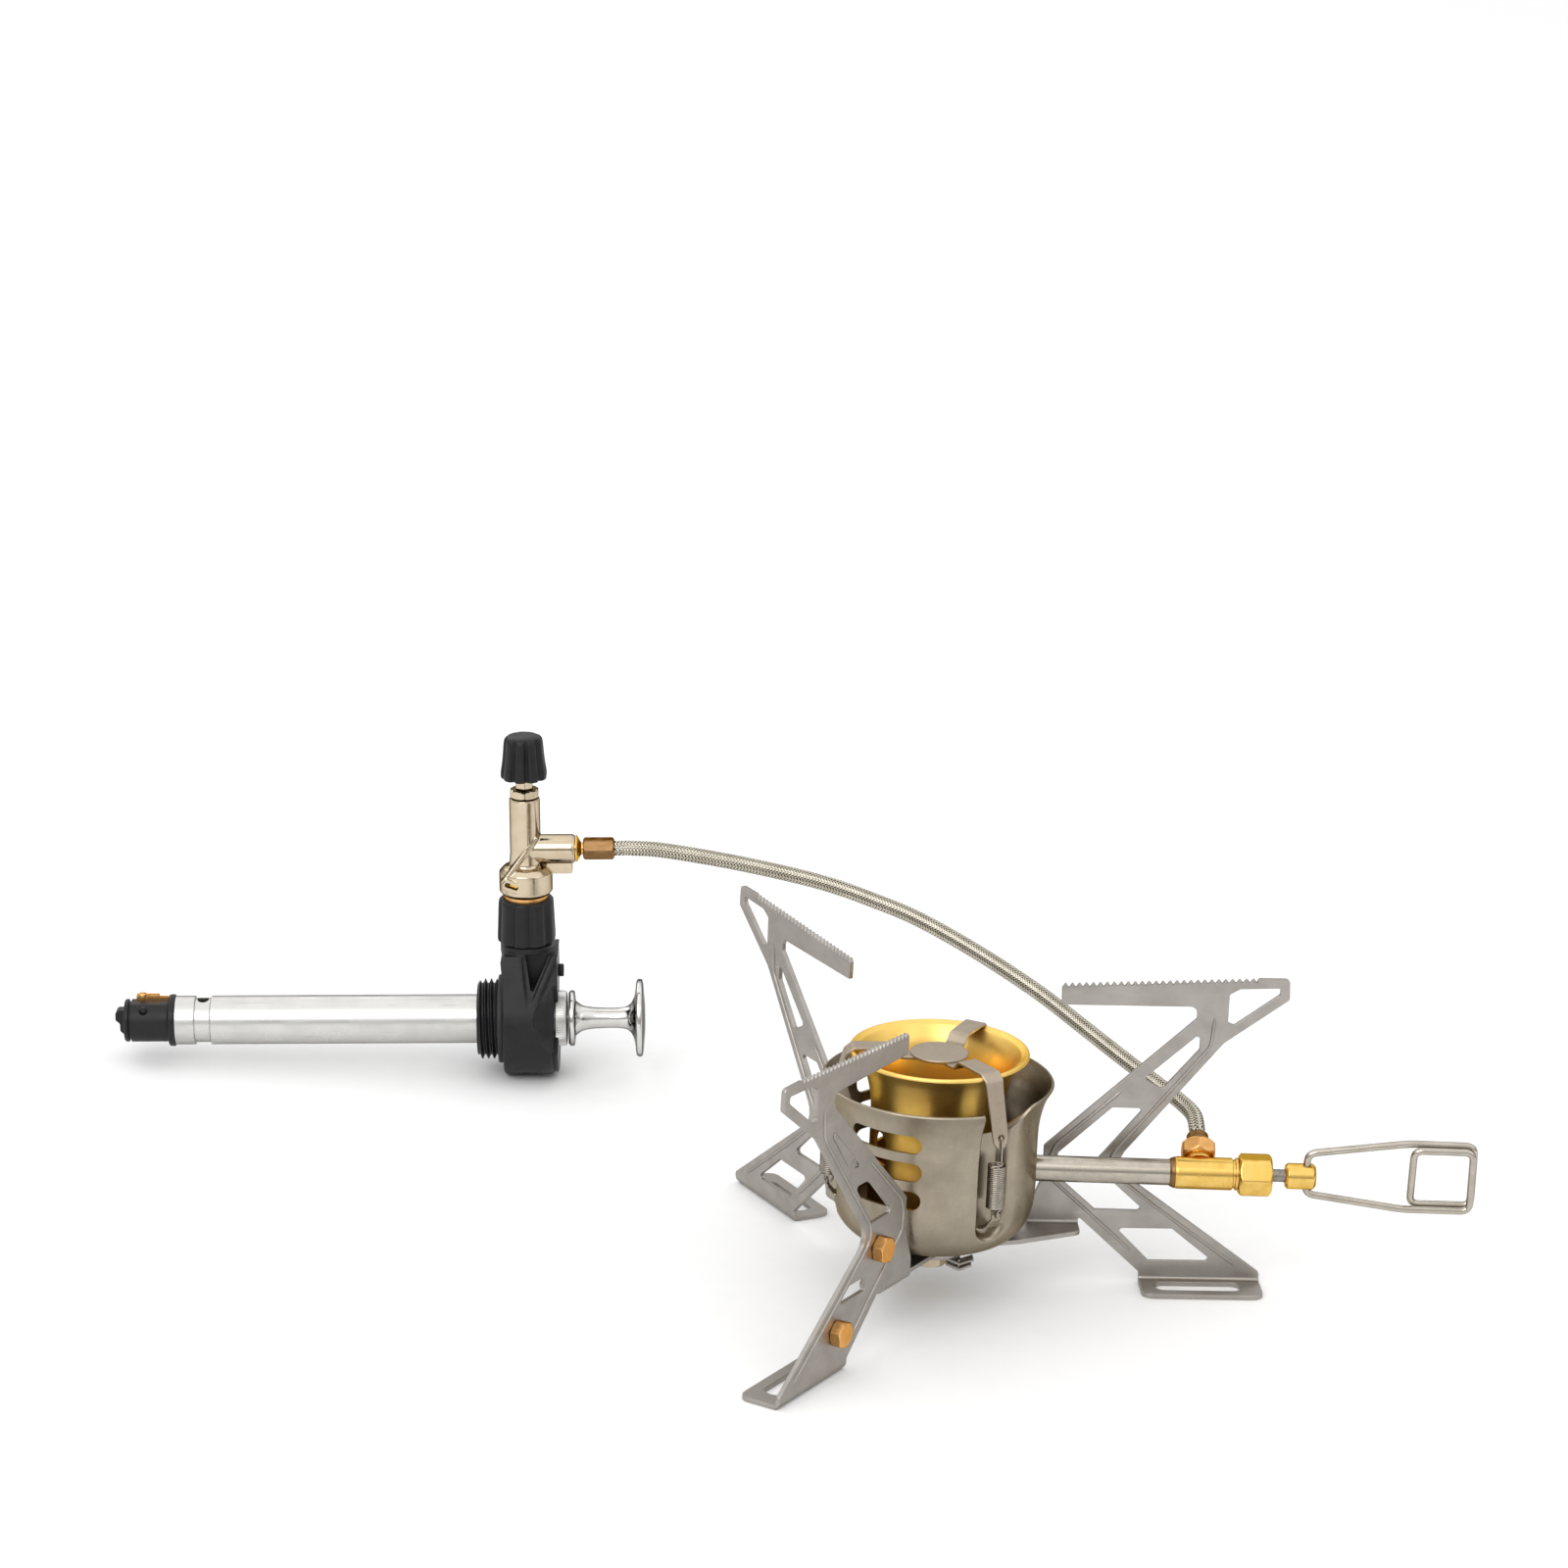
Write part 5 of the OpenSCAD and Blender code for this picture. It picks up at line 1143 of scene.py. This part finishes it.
class STOVE_OT_pump(bpy.types.Operator):
    """Moulds the pump body with its bottle thread, and turns the barrel and plunger"""
    bl_idname = "stove.pump"
    bl_label = "Bottle pump"

    def execute(self, context):
        barrel_end = -105.1
        self.body()
        self.end_cap(barrel_end)
        self.metal(barrel_end)
        return {"FINISHED"}

    def body(self):
        """Drum and port block in one skin, with pockets, thumb scoops and the bottle thread."""
        drum = turned([(0, -7.1), (16.1, -7.1), (16.55, -6.6), (16.55, 6.9), (16.2, 7.4), (15.5, 7.5), (15.5, 7.9),
                       (16.0, 8.1), (16.0, 8.8), (15.6, 9.15), (0, 9.15)], 128, "X")
        # The sides slope from the port down to the drum, with a rib on each side of the pockets
        z = np.array((6.8, 15.0, 20.4, 21.5, 22.2))
        drop = z[-1] - z
        slope, lean = 8.1 + 0.45 * drop, 2.3 + 0.4615 * (z - 9.0)
        left = np.array((-7.1, -7.1, -7.7, -7.4, -6.6))
        block = tapered(z, left + 0.3, (9.15, 9.15, 9.15, 9.1, 8.7), slope - 0.9)
        ribs = [tapered(z, left, -1.4 + 0.121 * drop, slope), tapered(z, lean - 0.94, lean + 0.94, slope)]
        shapes = joined(drum, block, bar(7.9, 21.4, 24.3), bar(11.2, -9.2, -6.8, "X"), *ribs)
        wedge = eased([(-0.4, 22.8, 0.3), (7.1, 22.8, 0.3), (2.2, 12.5, 0.4), (1.3, 12.5, 0.3)])
        pockets = [prism(wedge, -17.0, -5.0, "Y"), prism(wedge, 5.0, 17.0, "Y")]
        notch = [(0.4, -18.0), (3.2, -14.4), (6.0, -18.0)]
        seat = turned([(0, -12), (7.35, -12), (7.35, 7.9), (8.6, 7.9), (8.6, 12), (0, 12)], 64, "X")
        cuts = [seat, prism(notch, -8.5, 8.5, "Y"), bar(4.25, 13.3, 26.0)] + pockets
        scoops = [scoop_shape(side) for side in (-1, 1)]
        piece("body_moulding", shapes, "black_plastic", at=PUMP, stands_for=("pump_body",), voxel=0.3,
              cuts=cuts, later=scoops, sharp=50.0)
        thread = thread_shape(-15.0, -8.8, 12.0, 10.7, sizes().thread_pitch / MM)
        piece("bottle_thread", thread, "black_plastic", at=PUMP, sharp=60.0)

    def end_cap(self, x0):
        """Black end of the barrel with its key slot, parting groove and end lugs, and the brass pickup on its flat."""
        turn = lathe([(r, x0 + x, e) for r, x, e in (
            (0, -12.6, 0), (4, -12.6, 0.3), (4, 4, 0), (6.35, 4, 0.2), (6.35, 0.1, 0), (7.75, -0.1, 0.4),
            (7.75, -1.8, 0.5), (6.4, -2.2, 0.2), (6.4, -13.2, 0.25), (5.5, -13.3, 0), (5.5, -13.8, 0),
            (6.4, -13.9, 0.3), (6.4, -15.2, 0.6), (0, -15.3, 0))], 128, "X")
        flat = prism([(x0 - 13.25, 5.9), (x0 - 2.3, 5.9), (x0 - 2.3, 9.0), (x0 - 13.25, 9.0)], -6.0, 6.0, "Y")
        key_x, key_z, key_r = x0 - 9.3, 4.9, 1.5
        arc = [(key_x + key_r * math.cos(a), key_z - key_r * math.sin(a)) for a in np.linspace(0.0, math.pi, 15)]
        slot = prism([(key_x + key_r, 5.8)] + arc + [(key_x - key_r, 5.8)], -8.0, -4.2, "Y")
        piece("end_cap", turn, "black_plastic", at=PUMP, stands_for=("barrel_end",), cuts=[flat, slot], sharp=35.0)
        lugs = eased([(x0 - x, z, e) for x, z, e in (
            (15.0, 3.7, 0), (17.3, 3.7, 0.9), (18.0, 2.7, 1.0), (18.0, 0.5, 0.9), (17.0, -0.2, 0.5), (16.7, -0.7, 0.3),
            (16.7, -2.7, 0.9), (15.9, -3.6, 0.6), (15.0, -3.7, 0))], n=6)
        pin = moved(lathe([(0, 3.6, 0), (0.9, 3.6, 0), (0.9, 4.75, 0.25), (0, 4.8, 0)], 32),
                    shift(key_x, 0.0, 4.7) @ Matrix.Rotation(math.pi / 2, 4, "X"))
        piece("cap_lugs", joined(prism(lugs, -1.8, 1.8, "Y"), pin), "black_plastic", at=PUMP, sharp=35.0)
        plate = eased([(x0 - x, z, e) for x, z, e in (
            (11.8, 5.7, 0), (11.8, 7.55, 0.35), (5.05, 7.55, 0.2), (5.0, 6.85, 0.1), (2.0, 6.8, 0), (2.0, 5.7, 0))])
        button = moved(lathe([(0, 7.0, 0), (1.25, 7.0, 0), (1.25, 7.75, 0.25), (0, 7.95, 0)], 40),
                       shift(x0 - 10.0, 1.95, 0.0))
        piece("pickup_brass", joined(prism(plate, 1.3, 2.6, "Y"), button), "red_brass", at=PUMP,
              stands_for=("fuel_pickup",), sharp=30.0)

    def metal(self, x0):
        """Barrel with its groove and oval slot, knurled collar and turned plunger grip."""
        barrel = lathe([(6.5, x0, 0), (7.3, x0, 0.15), (7.3, x0 + 5.8, 0.12), (6.6, x0 + 6.0, 0.12),
                        (6.6, x0 + 10.4, 0.12), (7.3, x0 + 10.7, 0.12), (7.3, 8.0, 0), (6.5, 8.0, 0),
                        (6.5, x0 + 11.1, 0.4), (5.7, x0 + 10.4, 0.4), (5.7, x0 + 6.0, 0.4), (6.5, x0 + 5.3, 0.4)],
                       128, "X", ring=True)
        oval = eased([(x0 + 6.5, -2.1, 1.6), (x0 + 9.9, -2.1, 1.6), (x0 + 9.9, 2.1, 1.6), (x0 + 6.5, 2.1, 1.6)], n=7)
        piece("barrel_tube", barrel, "barrel_alu", at=PUMP, stands_for=("pump_barrel",),
              cuts=[prism(oval, 4.0, 8.0, "Z")])
        knurl = knurled((8.0, 8.15, 8.4, 11.1, 11.45, 11.6), (7.7, 8.05, 8.3, 8.3, 8.05, 7.6),
                        (0.0, 0.1, 0.22, 0.22, 0.1, 0.0), 78, "X")
        sleeve = turned([(2.1, 4.0), (6.5, 4.0), (6.5, 8.0), (7.3, 8.0), (7.3, 9.3), (2.1, 9.3)], 64, "X", ring=True)
        bore = bar(2.1, 3.0, 13.0, "X", 40)
        piece("collar_knurl", knurl, "barrel_alu", at=PUMP, sharp=28.0, cuts=[bore])
        piece("collar_sleeve", sleeve, "barrel_alu", at=PUMP, stands_for=("pump_collar",))
        flange = eased([(0, 12.1, 0), (7.8, 12.1, 0.3), (8.3, 12.7, 0.4), (8.3, 13.5, 0.3), (7.9, 13.9, 0.3),
                        (5.2, 14.2, 0.6), (4.4, 15.2, 0)], closed=False)
        spool = curve_through([(4.4, 15.2), (3.9, 16.0), (3.5, 17.4), (3.2, 19.6), (3.05, 22.5), (3.0, 25.5),
                               (3.15, 28.0), (3.6, 29.6), (4.7, 30.8), (6.6, 31.6), (8.8, 32.0), (10.5, 32.2)], 10)
        head = eased([(10.5, 32.2, 0), (11.6, 32.55, 0.7), (11.6, 34.0, 0.65), (10.2, 34.35, 1.5), (5.0, 34.8, 2),
                      (0, 34.9, 0)], closed=False, n=6)
        grip = turned(np.concatenate((flange[:-1], spool, head[1:])), 128, "X")
        piece("plunger_turned", grip, "polished_alu", "plunger", PUMP, ("plunger_grip",),
              cuts=[bar(2.0, 11.0, 15.5, "X", 40)])


# ---------------------------------------------------------------- parts that keep their solid

KEPT = {
    "drawn_steel": ("feed_tube", "pivot_washer", "plunger_rod", "valve_spindle"),
    "dark_spindle": ("regulator_spindle",),
    "champagne_nickel": ("pivot_nut",),
    "bright_brass": ("pivot_stud", "jet_block", "burner_jet", "port_stub", "piston"),
    "black_plastic": ("vent_screw",),
    "seal_rubber": ("gland_packing", "port_seal", "bottle_seal", "check_disc"),
    "pad_felt": ("priming_pad",),
    "cup_leather": ("piston_cup",),
}
EASED = {"vent_screw": 0.25, "pivot_nut": 0.2, "burner_jet": 0.15, "pivot_washer": 0.15, "bottle_seal": 0.4,
         "regulator_spindle": 0.1}


class STOVE_OT_kept_solids(bpy.types.Operator):
    """Gives the solids that stay their finishes and eased edges"""
    bl_idname = "stove.kept_solids"
    bl_label = "Small fittings"

    def execute(self, context):
        for key, names in KEPT.items():
            for name in names:
                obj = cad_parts[name]
                obj = bpy.data.objects[obj] if isinstance(obj, str) else obj
                for slot in obj.material_slots:
                    slot.material = finish(key)
                if not obj.material_slots:
                    raise RuntimeError(name + " has no material slot")
                if name in EASED:
                    m = obj.modifiers.new("join", "WELD")
                    m.merge_threshold = WELD * MM
                    m = obj.modifiers.new("flats", "DECIMATE")
                    m.decimate_type, m.angle_limit = "DISSOLVE", math.radians(1.0)
                    m = obj.modifiers.new("ease", "BEVEL")
                    m.width, m.segments, m.limit_method = EASED[name] * MM, 2, "ANGLE"
                    m.angle_limit = math.radians(30.0)
                    m = obj.modifiers.new("even", "WEIGHTED_NORMAL")
                    m.keep_sharp = True
        return {"FINISHED"}


# ---------------------------------------------------------------- stage

# Each light's place, the width and height of its panel, and its power
LIGHTS = {
    "key": ((-0.875, -2.00, 1.80), (2.0, 1.5), 28.0),
    "fill": ((2.375, -1.375, 1.5), (1.5, 2.25), 6.2),
    "rim": ((-1.375, 2.25, 1.75), (2.25, 1.25), 7.5),
}
LIGHTS_AIM = Vector((0.0, 0.0, 0.03))
# Brightness of the sky by height
SKY = ((0.0, 0.55), (0.08, 0.40), (0.30, 0.62), (0.55, 1.08), (1.0, 1.32))
FLOOR, FLOOR_FLECKS = (0.86, 0.86, 0.86), (0.85, 0.85, 0.85)
# Camera fitted to the stove's legs, rims and tube: turn, tilt and roll in degrees, then the stove's place to the right,
# up and ahead of it in millimetres
CAMERA_TURN, CAMERA_TILT, CAMERA_ROLL = -1.26, 16.94, 2.30
SEEN_RIGHT, SEEN_UP, SEEN_AHEAD = 39.20, -137.02, 1358.2
FOCAL_PX, PICTURE_PX, SENSOR = 5133.95, 1600.0, 36.0
LENS_SHIFT = (-0.01212, -0.00377)


class STOVE_OT_stage(bpy.types.Operator):
    """Lays the pale floor, the soft studio lights and the camera"""
    bl_idname = "stove.stage"
    bl_label = "Stage"

    def execute(self, context):
        self.camera(context)
        self.floor(context)
        self.world(context)
        for name, row in LIGHTS.items():
            self.light(context, name, *row)
        context.scene.view_settings.view_transform = "Standard"
        return {"FINISHED"}

    def camera(self, context):
        az, el, roll = (math.radians(a) for a in (CAMERA_TURN, CAMERA_TILT, CAMERA_ROLL))
        right = Vector((math.cos(az), math.sin(az), 0.0))
        away = Vector((-math.sin(az), math.cos(az), 0.0))
        z = Vector((0.0, 0.0, 1.0))
        ahead = away * math.cos(el) - z * math.sin(el)
        up = away * math.sin(el) + z * math.cos(el)
        place = -(right * SEEN_RIGHT + up * SEEN_UP + ahead * SEEN_AHEAD) * MM + STOVE.translation
        x = right * math.cos(roll) + up * math.sin(roll)
        y = up * math.cos(roll) - right * math.sin(roll)
        lens = bpy.data.cameras.new("studio_camera")
        lens.sensor_width, lens.lens = SENSOR, FOCAL_PX / PICTURE_PX * SENSOR
        lens.shift_x, lens.shift_y = LENS_SHIFT
        lens.clip_end = 50.0
        cam = bpy.data.objects.new("studio_camera", lens)
        turn = Matrix((x, y, -ahead)).transposed().to_4x4()
        cam.matrix_world = Matrix.Translation(place) @ turn
        context.collection.objects.link(cam)
        context.scene.camera = cam

    def floor(self, context):
        mesh = bpy.data.meshes.new("floor")
        mesh.from_pydata([(-6, -6, 0), (6, -6, 0), (6, 14, 0), (-6, 14, 0)], [], [(0, 1, 2, 3)])
        f = Finish("floor_paper", FLOOR, 0.0, 0.75)
        pits = f.use("pits", Scale=700.0)
        f.tone(pits["Mask"], FLOOR_FLECKS, 1.0)
        mesh.materials.append(f.material)
        obj = bpy.data.objects.new("floor", mesh)
        context.collection.objects.link(obj)

    def world(self, context):
        world = bpy.data.worlds.new("studio")
        world.use_nodes = True
        t = world.node_tree
        at = add(t, "ShaderNodeTexCoord").outputs["Generated"]
        split = add(t, "ShaderNodeSeparateXYZ", {0: at})
        ramp = add(t, "ShaderNodeValToRGB", {0: split.outputs["Z"]})
        steps = ramp.color_ramp.elements
        steps[0].position, steps[1].position = SKY[0][0], SKY[-1][0]
        for place, _ in SKY[1:-1]:
            steps.new(place)
        for step, (place, value) in zip(steps, SKY):
            step.position, step.color = place, (value, value, value, 1.0)
        feed(t, t.nodes["Background"].inputs["Color"], ramp.outputs[0])
        context.scene.world = world

    def light(self, context, name, place, size, power):
        data = bpy.data.lights.new(name, "AREA")
        data.shape, data.size, data.size_y, data.energy = "RECTANGLE", size[0], size[1], power
        obj = bpy.data.objects.new(name, data)
        obj.location = place
        obj.rotation_euler = (LIGHTS_AIM - Vector(place)).to_track_quat("-Z", "Y").to_euler()
        context.collection.objects.link(obj)


# ---------------------------------------------------------------- add-on

class STOVE_PT_panel(bpy.types.Panel):
    """Lists the stove's pieces, sizes and colours"""
    bl_idname = "STOVE_PT_panel"
    bl_label = "Camping stove"
    bl_space_type = "VIEW_3D"
    bl_region_type = "UI"
    bl_category = "Stove"

    def draw(self, context):
        for op in OPERATORS:
            self.layout.operator(op.bl_idname)
        for group_of in (context.scene.stove_sizes, context.scene.stove_colours):
            box = self.layout.box()
            for key in group_of.__annotations__:
                box.prop(group_of, key)


OPERATORS = (STOVE_OT_stage, STOVE_OT_hose, STOVE_OT_legs, STOVE_OT_burner, STOVE_OT_feed_line, STOVE_OT_valve,
             STOVE_OT_pump, STOVE_OT_kept_solids)
CLASSES = (StoveSizes, StoveColours) + OPERATORS + (STOVE_PT_panel,)


def register():
    for c in CLASSES:
        bpy.utils.register_class(c)
    bpy.types.Scene.stove_sizes = bpy.props.PointerProperty(type=StoveSizes)
    bpy.types.Scene.stove_colours = bpy.props.PointerProperty(type=StoveColours)


def unregister():
    del bpy.types.Scene.stove_sizes
    del bpy.types.Scene.stove_colours
    for c in reversed(CLASSES):
        bpy.utils.unregister_class(c)


def main():
    register()
    for op in OPERATORS:
        getattr(bpy.ops.stove, op.bl_idname.split(".")[1])()


if __name__ == "__main__":
    main()
